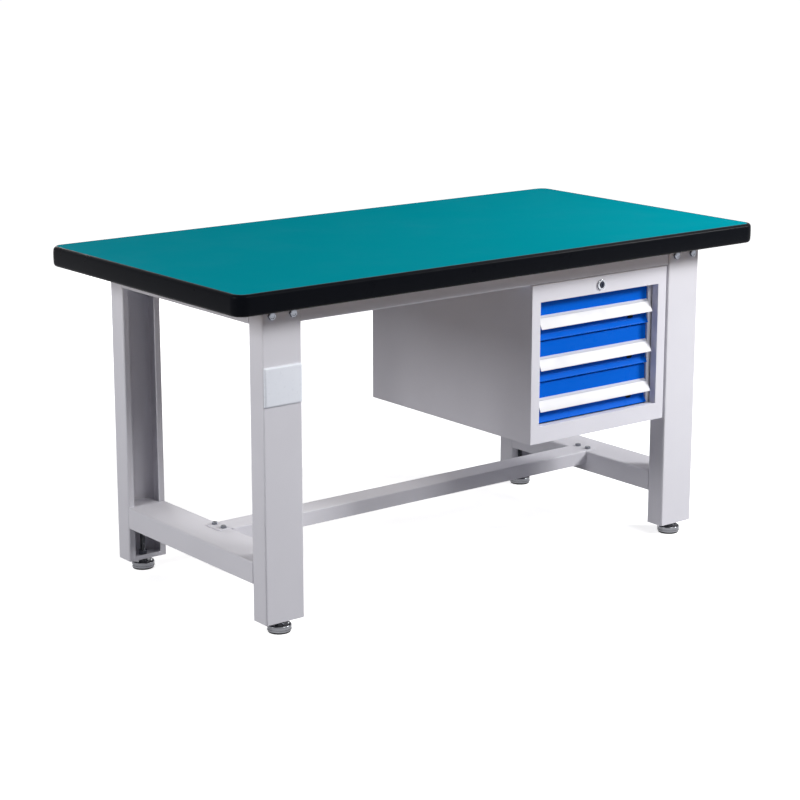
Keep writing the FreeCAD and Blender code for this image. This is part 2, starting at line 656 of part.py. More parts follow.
def stretcher():
    """The long stretcher between the lower end rails, its upper wall lapped and bolted on them."""
    low = "(rail_top + stretcher_gauge - stretcher_height)"
    profile = channel("0", low, "stretcher_height", "stretcher_width / 2", "stretcher_gauge")
    body = section("lower_stretcher_blank", "YZ", f"2 * ({LEG_INNER_X} - stretcher_gap)", profile)
    top = "(rail_top + stretcher_gauge)"
    round_bends(body, "stretcher_bend", "x", [(f"{step} * stretcher_width / 2", top) for step in (-1, 1)])
    reach = f"({LEG_INNER_X} + stretcher_lap)"
    half = "(stretcher_width / 2 - stretcher_bend)"
    tabs = box("stretcher_tabs", (f"-{reach}", f"-{half}", "rail_top"), (reach, half, top))
    holes = []
    for number, (sx, sy) in enumerate(((-1, -1), (-1, 1), (1, -1), (1, 1))):
        centre = (f"{sx} * {STRETCHER_BOLT_X}", f"{sy} * stretcher_bolt_offset")
        holes.append(cylinder(f"stretcher_hole_{number}", "z", centre, "small_radius + hole_gap",
                              "rail_top", "rail_top + stretcher_gauge"))
    return cut("lower_stretcher", fuse("lower_stretcher_whole", [body, tabs]), holes)


def label_plate():
    """The blank plate on the face of the front left leg."""
    half = "(leg_width / 2 - label_margin)"
    middle = f"({BOLT_Z} - label_drop)"
    return box("blank_label_plate",
               (f"-{LEG_X} - {half}", f"-{LEG_FACE} - label_thickness", f"{middle} - label_height / 2"),
               (f"-{LEG_X} + {half}", f"-{LEG_FACE}", f"{middle} + label_height / 2"))


def nut(name, axis, centre, flats, radius, start, end):
    """A six-sided nut on a shank or stud."""
    blank = hexagon(f"{name}_blank", axis, centre, flats, start, end)
    bore = cylinder(f"{name}_bore", axis, centre, f"{radius} + thread_gap", start, end)
    return cut(name, blank, [bore])


def apron_bolts():
    """Two bolts through the web of each leg into the apron behind it, and their nuts."""
    bolts = []
    nuts = []
    for corner, sx, sy in corners():
        for number, step in enumerate((-1, 1)):
            name = f"apron_bolt_{corner}_{number}"
            centre = (f"{sx} * {LEG_X} + {step} * bolt_offset", BOLT_Z)
            behind = f"({APRON_FACE} - apron_gauge)"
            head = sorted((f"{sy} * {LEG_FACE}", f"{sy} * ({LEG_FACE} + bolt_head)"), key=worth)
            shank = sorted((f"{sy} * {LEG_FACE}", f"{sy} * ({behind} - bolt_nut - hole_gap)"), key=worth)
            seat = sorted((f"{sy} * {behind}", f"{sy} * ({behind} - bolt_nut)"), key=worth)
            pieces = [hexagon(f"{name}_head", "y", centre, "bolt_flats", *head),
                      cylinder(f"{name}_shank", "y", centre, "bolt_radius", *shank)]
            bolts.append(fuse(name, pieces))
            nuts.append(nut(f"apron_nut_{corner}_{number}", "y", centre, "bolt_flats", "bolt_radius", *seat))
    return bolts, nuts


def small_bolt(name, centre, seat, way):
    """A bolt along Z whose head lies on one side of its seat and whose shank goes the other way."""
    head = sorted((seat, f"{seat} - {way} * small_head"), key=worth)
    shank = sorted((seat, f"{seat} + {way} * small_grip"), key=worth)
    pieces = [hexagon(f"{name}_head", "z", centre, "small_flats", *head),
              cylinder(f"{name}_shank", "z", centre, "small_radius", *shank)]
    return fuse(name, pieces)


def stretcher_bolts():
    """Two bolts through each end tab of the stretcher into the rail, and their nuts."""
    bolts = []
    nuts = []
    for corner, sx, sy in corners():
        centre = (f"{sx} * {STRETCHER_BOLT_X}", f"{sy} * stretcher_bolt_offset")
        under = "(rail_top - rail_gauge)"
        bolts.append(small_bolt(f"stretcher_bolt_{corner}", centre, "(rail_top + stretcher_gauge)", -1))
        nuts.append(nut(f"stretcher_nut_{corner}", "z", centre, "small_flats", "small_radius",
                        f"{under} - small_nut", under))
    return bolts, nuts


def hanging_bolts():
    """Bolts through the cabinet's top into the aprons' lower flanges, and their nuts."""
    bolts = []
    nuts = []
    for corner, sx, sy in corners():
        centre = (f"{CABINET_X} + {sx} * {HANGER_REACH}", f"{sy} * {APRON_MIDDLE_Y}")
        above = f"({APRON_LOW} + apron_gauge)"
        bolts.append(small_bolt(f"hanging_bolt_{corner}", centre, CEILING, 1))
        nuts.append(nut(f"hanging_nut_{corner}", "z", centre, "small_flats", "small_radius",
                        above, f"{above} + small_nut"))
    return bolts, nuts


def frame():
    """Legs, rails, aprons, stretcher and what bolts them together."""
    weld_nuts = []
    plates = []
    for corner, sx, sy in corners():
        node(leg(corner, sx, sy))
        plates.append(base_plate(corner, sx, sy))
        top = "(leg_bottom + base_thickness)"
        weld_nuts.append(nut(f"weld_nut_{corner}", "z", (f"{sx} * {LEG_X}", f"{sy} * {FOOT_Y}"), "stud_flats",
                             "stud_radius", top, f"{top} + weld_nut"))
    node(group("leg_base_plates", plates))
    for side, sx in SIDES:
        node(lower_end_rail(side, sx))
        node(upper_end_rail(side, sx))
    for end, sy in ENDS:
        node(apron(end, sy))
    node(stretcher())
    node(label_plate())
    bolts, nuts = apron_bolts()
    small_bolts, small_nuts = stretcher_bolts()
    hangers, hanger_nuts = hanging_bolts()
    node(group("apron_bolts", bolts))
    node(group("stretcher_bolts", small_bolts))
    node(group("hanging_bolts", hangers))
    node(group("frame_nuts", nuts + small_nuts + hanger_nuts + weld_nuts))


# Feet

def turned(name, radii):
    """A round body about the Z axis, from pairs of radius and height that start on the axis."""
    body = document.addObject("PartDesign::Body", name)
    sketch = drawn(body, "XZ", radii)
    feature = body.newObject("PartDesign::Revolution", f"{name}_turn")
    feature.Profile = sketch
    feature.ReferenceAxis = (sketch, ["V_Axis"])
    feature.Angle = 360
    return body


def levelling_foot(corner, sx, sy):
    """A steel base with a stud, and the lock nut that holds it against the leg."""
    base_top = "(pad_thickness + foot_height)"
    collar_top = "(leg_bottom - lock_nut)"
    radii = (
        ("0", "pad_thickness"),
        ("foot_radius", "pad_thickness"),
        ("foot_radius", f"{base_top} - foot_round"),
        ("foot_radius - foot_round", base_top),
        ("collar_radius", base_top),
        ("collar_radius", collar_top),
        ("stud_radius", collar_top),
        ("stud_radius", "stud_top"),
        ("0", "stud_top"),
    )
    middle = (f"{sx} * {LEG_X}", f"{sy} * {FOOT_Y}")
    foot = turned(f"foot_and_stud_{corner}", radii)
    place(foot, *middle)
    jam = nut(f"foot_lock_nut_{corner}", "z", middle, "stud_flats", "stud_radius", collar_top, "leg_bottom")
    return group(f"levelling_foot_{corner}", [foot, jam])


def feet():
    """Four levelling feet and the rubber pads under them."""
    for corner, sx, sy in corners():
        node(levelling_foot(corner, sx, sy))
        centre = (f"{sx} * {LEG_X}", f"{sy} * {FOOT_Y}")
        node(cylinder(f"foot_pad_{corner}", "z", centre, "pad_radius", "0", "pad_thickness"))


# Cabinet

def cabinet_wrap():
    """One sheet folded to both sides and the bottom."""
    left, right, low = CABINET_LEFT, CABINET_RIGHT, CABINET_LOW
    profile = (
        (left, low),
        (right, low),
        (right, APRON_LOW),
        (f"{right} - cabinet_gauge", APRON_LOW),
        (f"{right} - cabinet_gauge", f"{low} + cabinet_gauge"),
        (f"{left} + cabinet_gauge", f"{low} + cabinet_gauge"),
        (f"{left} + cabinet_gauge", APRON_LOW),
        (left, APRON_LOW),
    )
    front = f"({CABINET_FRONT} + cabinet_gauge)"
    body = section("cabinet_wrap", "XZ", f"{CABINET_BACK} - {front}", profile)
    place(body, y=f"({CABINET_BACK} + {front}) / 2")
    return body


def cabinet_panels():
    """The back and the top, both between the sides."""
    left = f"({CABINET_LEFT} + cabinet_gauge)"
    right = f"({CABINET_RIGHT} - cabinet_gauge)"
    floor = f"({CABINET_LOW} + cabinet_gauge)"
    back = box("cabinet_back", (left, BACK_INSIDE, floor), (right, CABINET_BACK, CEILING))
    roof = box("cabinet_top_blank", (left, f"{CABINET_FRONT} + cabinet_gauge", CEILING),
               (right, CABINET_BACK, APRON_LOW))
    holes = []
    for corner, sx, sy in corners():
        centre = (f"{CABINET_X} + {sx} * {HANGER_REACH}", f"{sy} * {APRON_MIDDLE_Y}")
        holes.append(cylinder(f"cabinet_top_hole_{corner}", "z", centre, "small_radius + hole_gap",
                              CEILING, APRON_LOW))
    return back, cut("cabinet_top", roof, holes)


def front_frame():
    """The cabinet's front: a plate with one large opening whose edges turn inward."""
    left = f"({CABINET_LEFT} + stile_width)"
    right = f"({CABINET_RIGHT} - stile_width)"
    opening = rectangle(left, OPENING_LOW, right, OPENING_HIGH)
    plate = rectangle(CABINET_LEFT, CABINET_LOW, CABINET_RIGHT, APRON_LOW)
    rim = rectangle(f"{left} - cabinet_gauge", f"{OPENING_LOW} - cabinet_gauge",
                    f"{right} + cabinet_gauge", f"{OPENING_HIGH} + cabinet_gauge")
    sheet_front = section("front_frame_plate", "XZ", "cabinet_gauge", plate, opening)
    place(sheet_front, y=f"{CABINET_FRONT} + cabinet_gauge / 2")
    jamb = section("front_frame_jamb", "XZ", "jamb_depth", rim, opening)
    place(jamb, y=f"{CABINET_FRONT} + jamb_depth / 2")
    hole = cylinder("front_frame_lock_hole", "y", (CABINET_X, LOCK_Z), "barrel_radius + thread_gap",
                    CABINET_FRONT, f"{CABINET_FRONT} + cabinet_gauge")
    return cut("cabinet_front_frame", fuse("front_frame_whole", [sheet_front, jamb]), [hole])


def slide_post(name, wall, way, front):
    """An upright channel between a side of the cabinet and the drawer slides."""
    face = f"({wall} + {way} * post_width)"
    back = f"({front} + post_depth)"
    inner = f"({face} - {way} * cabinet_gauge)"
    profile = (
        (wall, front),
        (face, front),
        (face, back),
        (wall, back),
        (wall, f"{back} - cabinet_gauge"),
        (inner, f"{back} - cabinet_gauge"),
        (inner, f"{front} + cabinet_gauge"),
        (wall, f"{front} + cabinet_gauge"),
    )
    low = f"({CABINET_LOW} + cabinet_gauge)"
    body = section(name, "XY", f"{CEILING} - {low}", profile, middle=False)
    place(body, z=low)
    return body


def slide_posts():
    """Two uprights at each side of the cabinet."""
    posts = []
    fronts = (
        ("front", f"({CABINET_FRONT} + post_setback)"),
        ("rear", f"({SLIDE_END} - post_overlap - post_depth)"),
    )
    for side, wall, way in side_walls():
        for end, front in fronts:
            posts.append(slide_post(f"slide_post_{end}_{side}", wall, way, front))
    return group("slide_posts", posts)


def side_walls():
    """Each side of the cabinet: its name, its inner face, and which way is inward."""
    return (
        ("left", f"({CABINET_LEFT} + cabinet_gauge)", 1),
        ("right", f"({CABINET_RIGHT} - cabinet_gauge)", -1),
    )


def cabinet():
    """The hung cabinet without its drawers and lock."""
    node(cabinet_wrap())
    for panel in cabinet_panels():
        node(panel)
    node(front_frame())
    node(slide_posts())


# Drawer slides

def run(name, profile, wall, way, height, start, end):
    """A slide member along Y, whose section is drawn from its post towards the drawer."""
    face = f"{wall} + {way} * post_width"
    points = [(f"{face} + {way} * ({across})", f"{height} + {up}") for across, up in profile]
    body = section(name, "XZ", f"{end} - {start}", points)
    place(body, y=f"({end} + {start}) / 2")
    return body


def trough(web, mouth, half, gauge):
    """The section of a channel whose web is at one distance from the post and whose mouth is at another."""
    inner = f"{web} + {gauge}" if worth(mouth) > worth(web) else f"{web} - {gauge}"
    return (
        (web, f"-({half})"),
        (mouth, f"-({half})"),
        (mouth, f"-({half}) + {gauge}"),
        (inner, f"-({half}) + {gauge}"),
        (inner, f"({half}) - {gauge}"),
        (mouth, f"({half}) - {gauge}"),
        (mouth, f"({half})"),
        (web, f"({half})"),
    )


def cage(name, low, high, across, wall, way, height, start, end):
    """A row of balls in its cage, as one bar."""
    profile = rectangle(across, low, f"{across} + race_width", high)
    return run(name, profile, wall, way, height, start, end)


def drawer_slides(drawer):
    """Both slides of a drawer: outer members on the posts, middle members with their balls, inner members."""
    height = f"({box_low(drawer)} + {BOX_HEIGHT} / 2)"
    outer_half = "slide_height / 2"
    outer_inside = "(slide_height / 2 - slide_gauge)"
    middle_half = f"({outer_inside} - race_depth)"
    middle_inside = f"({middle_half} - slide_gauge)"
    inner_half = f"({middle_inside} - race_depth)"
    mouth = "slide_thickness - slide_open"
    web = "(slide_gauge + slide_nest)"
    rear = (f"({SLIDE_END} - cage_end - cage_length)", f"({SLIDE_END} - cage_end)")
    front = (f"({SLIDE_START} + cage_end)", f"({SLIDE_START} + cage_end + cage_length)")
    outer_race = f"({web} + slide_gauge)"
    inner_race = f"({web} + race_width)"
    outers = []
    middles = []
    inners = []
    for side, wall, way in side_walls():
        tag = f"{drawer}_{side}"
        whole = (wall, way, height, SLIDE_START, SLIDE_END)
        outers.append(run(f"outer_{tag}", trough("0", mouth, outer_half, "slide_gauge"), *whole))
        middles.append(run(f"middle_{tag}", trough(web, mouth, middle_half, "slide_gauge"), *whole))
        hollow = trough("slide_thickness", f"{web} + race_width", inner_half, "slide_gauge")
        inners.append(run(f"inner_{tag}", hollow, *whole))
        for level, sign in (("upper", 1), ("lower", -1)):
            outer_row = sorted((f"{sign} * {middle_half}", f"{sign} * ({outer_inside} - run_gap)"), key=worth)
            inner_row = sorted((f"{sign} * ({inner_half} + run_gap)", f"{sign} * {middle_inside}"), key=worth)
            at_rear = (wall, way, height, *rear)
            at_front = (wall, way, height, *front)
            middles.append(cage(f"outer_balls_{tag}_{level}", *outer_row, outer_race, *at_rear))
            middles.append(cage(f"inner_balls_{tag}_{level}", *inner_row, inner_race, *at_front))
    node(group(f"slide_outer_{drawer}", outers))
    node(group(f"slide_middle_{drawer}", middles))
    node(group(f"slide_inner_{drawer}", inners))


# Drawers

def front_outline(drawer):
    """The outside of a drawer front from the side: a flat face with a sloped foot that comes forward."""
    low = front_low(drawer)
    high = f"({low} + {PITCH} - drawer_gap)"
    back = f"({FRONT_BACK} + front_flange)"
    foot = f"({FRONT_FACE} - kick_forward)"
    return low, high, back, foot


def drawer_front(drawer):
    """A folded pan: face, sloped foot, upper and lower flange, and two closed ends."""
    low, high, back, foot = front_outline(drawer)
    folded = (
        (back, high),
        (FRONT_FACE, high),
        (FRONT_FACE, f"{low} + kick_height"),
        (foot, f"{low} + kick_edge"),
        (foot, low),
        (back, low),
        (back, f"{low} + front_gauge"),
        (f"{foot} + front_gauge", f"{low} + front_gauge"),
        (f"{foot} + front_gauge", f"{low} + kick_edge"),
        (FRONT_BACK, f"{low} + kick_height"),
        (FRONT_BACK, f"{high} - front_gauge"),
        (back, f"{high} - front_gauge"),
    )
    whole = folded[:6]
    face = section(f"drawer_front_{drawer}_fold", "YZ", FRONT_WIDTH, folded)
    place(face, x=CABINET_X)
    pieces = [face]
    for side, sx in SIDES:
        end = section(f"drawer_front_{drawer}_end_{side}", "YZ", "front_gauge", whole)
        place(end, x=f"{CABINET_X} + {sx} * ({FRONT_WIDTH} - front_gauge) / 2")
        pieces.append(end)
    return fuse(f"drawer_front_{drawer}", pieces)


def drawer_handle(drawer):
    """A full-width finger pull: a flange on the front, a short ledge and a sloped grip, open below."""
    high = f"({front_low(drawer)} + handle_rise)"
    ledge = f"({FRONT_FACE} - ledge_forward)"
    tip = f"({ledge} - grip_forward)"
    profile = (
        (FRONT_FACE, high),
        (ledge, f"{high} - ledge_drop"),
        (tip, f"{high} - ledge_drop - grip_drop"),
        (f"{tip} + handle_wall", f"{high} - ledge_drop - grip_drop"),
        (f"{ledge} + handle_wall / 2", f"{high} - ledge_drop - handle_wall"),
        (f"{FRONT_FACE} - handle_wall", f"{high} - handle_root"),
        (f"{FRONT_FACE} - handle_wall", f"{high} - handle_flange"),
        (FRONT_FACE, f"{high} - handle_flange"),
    )
    body = section(f"drawer_handle_{drawer}", "YZ", FRONT_WIDTH, profile)
    place(body, x=CABINET_X)
    return body


def drawer_box(drawer):
    """An open sheet box with the lock's catch folded out behind it."""
    low = box_low(drawer)
    high = f"({low} + {BOX_HEIGHT})"
    outer = box(f"drawer_box_{drawer}_outer", (f"{CABINET_X} - {BOX_HALF}", FRONT_BACK, low),
                (f"{CABINET_X} + {BOX_HALF}", BOX_END, high))
    inner = box(f"drawer_box_{drawer}_inner",
                (f"{CABINET_X} - {BOX_HALF} + box_gauge", f"{FRONT_BACK} + box_gauge", f"{low} + box_gauge"),
                (f"{CABINET_X} + {BOX_HALF} - box_gauge", f"{BOX_END} - box_gauge", high))
    shelf = catch_low(drawer)
    shelf_top = f"({shelf} + catch_gauge)"
    half = "catch_width / 2"
    end = f"({BOX_END} + catch_reach)"
    tab = box(f"catch_{drawer}_tab", (f"{BAR_X} - {half}", BOX_END, shelf),
              (f"{BAR_X} + {half}", end, shelf_top))
    lip = box(f"catch_{drawer}_lip", (f"{BAR_X} - {half}", f"{end} - catch_gauge", shelf_top),
              (f"{BAR_X} + {half}", end, f"{shelf_top} + catch_height"))
    shell = cut(f"drawer_box_{drawer}_shell", outer, [inner])
    return fuse(f"drawer_box_{drawer}", [shell, tab, lip])


def drawers():
    """Three drawers on their slides, the first at the top."""
    for drawer in DRAWERS:
        drawer_slides(drawer)
        node(drawer_box(drawer))
        node(drawer_front(drawer))
        node(drawer_handle(drawer))


# Lock

def lock_core():
    """The fixed barrel with its bezel and nut, and the plug that turns in it."""
    middle = (CABINET_X, LOCK_Z)
    front = f"({CABINET_FRONT} - bezel_height)"
    end = f"({CABINET_FRONT} + barrel_length)"
    bore = cylinder("lock_bore", "y", middle, "plug_radius + thread_gap", front, end)
    bezel = cylinder("lock_bezel", "y", middle, "bezel_radius - bezel_round", front, CABINET_FRONT)
    rim = document.addObject("Part::Cone", "lock_bezel_rim")
    rim.setExpression("Radius1", bind("bezel_radius - bezel_round"))
    rim.setExpression("Radius2", bind("bezel_radius"))
    rim.setExpression("Height", bind("bezel_round"))
    rim.Placement = FreeCAD.Placement(FreeCAD.Vector(), AXIS_TURNS["y"])
    place(rim, *along("y", middle, front))
    skirt = cylinder("lock_bezel_skirt", "y", middle, "bezel_radius", f"{front} + bezel_round", CABINET_FRONT)
    barrel = cylinder("lock_barrel", "y", middle, "barrel_radius", CABINET_FRONT, end)
    node(cut("lock_housing", fuse("lock_housing_whole", [bezel, rim, skirt, barrel]), [bore]))
    seat = f"({CABINET_FRONT} + cabinet_gauge)"
    flats = "lock_nut_radius * sqrt(3)"
    node(nut("lock_fixing_nut", "y", middle, flats, "barrel_radius", seat, f"{seat} + lock_nut_height"))
    face = f"({front} - plug_proud)"
    plug = cylinder("lock_plug_blank", "y", middle, "plug_radius", face, PLUG_END)
    side = "keyway_width / 2"
    rise = "keyway_height / 2"
    keyway = box("lock_keyway", (f"{CABINET_X} - {side}", face, f"{LOCK_Z} - {rise}"),
                 (f"{CABINET_X} + {side}", f"{face} + keyway_depth", f"{LOCK_Z} + {rise}"))
    node(cut("lock_plug", plug, [keyway]))


def lock_drive():
    """The rod behind the plug, and the crank at its rear end, whose pin moves the lock bar."""
    middle = (CABINET_X, LOCK_Z)
    node(cylinder("lock_drive_rod", "y", middle, "rod_radius", PLUG_END, CRANK_FRONT))
    hub = cylinder("crank_hub", "y", middle, "crank_width / 2", CRANK_FRONT, CRANK_BACK)
    pin_centre = (f"{CABINET_X} + {PIN_SWING}", PIN_Z)
    eye = cylinder("crank_eye", "y", pin_centre, "crank_width / 2", CRANK_FRONT, CRANK_BACK)
    pin = cylinder("crank_pin", "y", pin_centre, "pin_radius", CRANK_FRONT, f"{BAR_BACK} + pin_gap")
    arm = document.addObject("Part::Box", "crank_arm")
    arm.setExpression("Length", bind("crank_radius"))
    arm.setExpression("Width", bind("crank_thickness"))
    arm.setExpression("Height", bind("crank_width"))
    turn = FreeCAD.Rotation(FreeCAD.Vector(0, 1, 0), -CRANK_LEAN)
    arm.Placement = FreeCAD.Placement(FreeCAD.Vector(), turn)
    lean = f"crank_width / 2 * sin({CRANK_LEAN} deg)"
    place(arm, f"{CABINET_X} + {lean}", CRANK_FRONT, f"{LOCK_Z} - {lean}")
    node(fuse("lock_crank", [hub, eye, pin, arm]))


def lock_bar():
    """The upright bar with a slot for the crank pin and a hook over each drawer's catch."""
    half = "bar_width / 2"
    low = f"({hook_low(DRAWERS[-1])} - bar_foot)"
    top = f"({PIN_Z} + pin_radius + pin_gap + bar_head)"
    blank = box("lock_bar_blank", (f"{BAR_X} - {half}", BAR_FRONT, low), (f"{BAR_X} + {half}", BAR_BACK, top))
    room = "(pin_radius + pin_gap)"
    slot = box("lock_bar_slot", (f"{CABINET_X} + {PIN_SWING} - {room}", BAR_FRONT, f"{PIN_Z} - {room}"),
               (f"{CABINET_X} + crank_radius + {room}", BAR_BACK, f"{PIN_Z} + {room}"))
    pieces = [cut("lock_bar_slotted", blank, [slot])]
    reach = f"({BAR_FRONT} - hook_reach)"
    side = "hook_width / 2"
    for drawer in DRAWERS:
        tip = hook_low(drawer)
        shoulder = f"({tip} + hook_drop)"
        pieces.append(box(f"hook_{drawer}_arm", (f"{BAR_X} - {side}", reach, shoulder),
                          (f"{BAR_X} + {side}", BAR_FRONT, f"{shoulder} + hook_arm")))
        pieces.append(box(f"hook_{drawer}_tooth", (f"{BAR_X} - {side}", reach, tip),
                          (f"{BAR_X} + {side}", f"{reach} + hook_thickness", shoulder)))
    return fuse("lock_bar", pieces)


def lock_guides():
    """Straps that hold the lock bar to the cabinet's back, and the hanger that carries the drive rod."""
    inner = "(bar_width / 2 + guide_gap)"
    outer = "(bar_width / 2 + guide_gap + guide_gauge)"
    ear = "(bar_width / 2 + guide_gap + guide_gauge + guide_ear)"
    under = f"({BAR_FRONT} - guide_gap)"
    over = f"({under} - guide_gauge)"
    seat = f"({BACK_INSIDE} - guide_gauge)"
    right_half = (
        (outer, over),
        (outer, seat),
        (ear, seat),
        (ear, BACK_INSIDE),
        (inner, BACK_INSIDE),
        (inner, under),
    )
    profile = [(f"{BAR_X} + {across}", deep) for across, deep in right_half]
    profile += [(f"{BAR_X} - {across}", deep) for across, deep in reversed(right_half)]
    pieces = []
    for drawer in (DRAWERS[0], DRAWERS[-1]):
        strap = section(f"lock_strap_{drawer}", "XY", "guide_height", profile, middle=False)
        place(strap, z=f"{catch_low(drawer)} - guide_drop")
        pieces.append(strap)
    front = f"({CRANK_FRONT} - bearing_gap)"
    half = "bearing_width / 2"
    wall = box("rod_hanger_wall", (f"{CABINET_X} - {half}", front, f"{LOCK_Z} - rod_radius - bearing_gauge"),
               (f"{CABINET_X} + {half}", f"{front} + bearing_gauge", CEILING))
    foot = box("rod_hanger_foot",
               (f"{CABINET_X} - {half}", f"{front} - bearing_depth", f"{CEILING} - bearing_gauge"),
               (f"{CABINET_X} + {half}", front, CEILING))
    hole = cylinder("rod_hanger_hole", "y", (CABINET_X, LOCK_Z), "rod_radius + thread_gap",
                    front, f"{front} + bearing_gauge")
    pieces.append(cut("rod_hanger", fuse("rod_hanger_blank", [wall, foot]), [hole]))
    return group("lock_guides", pieces)


def lock():
    """One lock for all drawers."""
    lock_core()
    lock_drive()
    node(lock_bar())
    node(lock_guides())


def main():
    """Build the bench, test every object, and write one file for each sub-part."""
    worktop()
    frame()
    feet()
    cabinet()
    drawers()
    lock()
    document.recompute()
    for item in document.Objects:
        if "Invalid" in item.State or "Error" in item.State:
            raise RuntimeError(f"{item.Label} did not build: {item.State}")
    for item in nodes:
        if item.Shape.isNull() or not item.Shape.isValid() or not item.Shape.Solids:
            raise RuntimeError(f"{item.Label} has no valid solid")
    os.makedirs("parts", exist_ok=True)
    for item in nodes:
        item.Shape.exportStep(f"parts/{item.Label}.step")
    print(f"{len(nodes)} sub-parts written")


main()
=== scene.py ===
import json
import math

import bmesh
import bpy
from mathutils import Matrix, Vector


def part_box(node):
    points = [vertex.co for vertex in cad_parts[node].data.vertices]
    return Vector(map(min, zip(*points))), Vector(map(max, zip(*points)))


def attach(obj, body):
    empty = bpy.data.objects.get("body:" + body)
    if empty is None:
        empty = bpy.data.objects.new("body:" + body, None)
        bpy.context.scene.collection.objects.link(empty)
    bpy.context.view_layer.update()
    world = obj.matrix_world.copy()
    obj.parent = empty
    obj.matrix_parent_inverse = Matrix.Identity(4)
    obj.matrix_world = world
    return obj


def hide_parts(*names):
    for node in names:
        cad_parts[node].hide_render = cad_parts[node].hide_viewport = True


# A heavy workshop bench with a hung drawer cabinet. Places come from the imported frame, in metres.

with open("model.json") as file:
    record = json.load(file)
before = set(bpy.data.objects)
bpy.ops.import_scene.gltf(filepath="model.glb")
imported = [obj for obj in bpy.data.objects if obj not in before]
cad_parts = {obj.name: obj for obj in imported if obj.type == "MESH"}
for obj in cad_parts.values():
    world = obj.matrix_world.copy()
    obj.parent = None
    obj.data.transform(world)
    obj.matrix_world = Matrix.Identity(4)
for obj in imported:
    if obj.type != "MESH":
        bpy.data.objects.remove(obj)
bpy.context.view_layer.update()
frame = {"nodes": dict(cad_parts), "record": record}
nodes = frame["nodes"]
scene = bpy.context.scene
scene.view_settings.view_transform = "Standard"

MM = 0.001
CORNERS = ("front_left", "front_right", "rear_left", "rear_right")
DRAWERS = (1, 2, 3)

# Camera, at the photograph's viewing angle

CAMERA_PLACE = (-3.0940, -3.9116, 1.5953)
CAMERA_YAW = 37.995
CAMERA_PITCH = 13.800
CAMERA_LENS = 97.05
CAMERA_SENSOR = 36


def make_camera():
    """A camera to the left of the bench's front that looks slightly down at it."""
    data = bpy.data.cameras.new("camera")
    data.lens = CAMERA_LENS
    data.sensor_width = CAMERA_SENSOR
    camera = bpy.data.objects.new("camera", data)
    camera.location = CAMERA_PLACE
    camera.rotation_euler = (math.radians(90 - CAMERA_PITCH), 0, math.radians(-CAMERA_YAW))
    scene.collection.objects.link(camera)
    scene.camera = camera


# Materials. The first three numbers are the colour sockets of a Mix node.

MIX_FIRST = 6
MIX_SECOND = 7
MIX_RESULT = 2
NOISE_RANGE = (0.25, 0.75)
GLOSS_SPREAD = 0.05
STEEL_GLOSS_SPREAD = 0.07


def shade(red, green, blue):
    """A colour as a screen shows it, 0 to 255, as linear light."""
    linear = []
    for value in (red, green, blue):
        share = value / 255
        linear.append(share / 12.92 if share <= 0.04045 else ((share + 0.055) / 1.055) ** 2.4)
    return (*linear, 1.0)


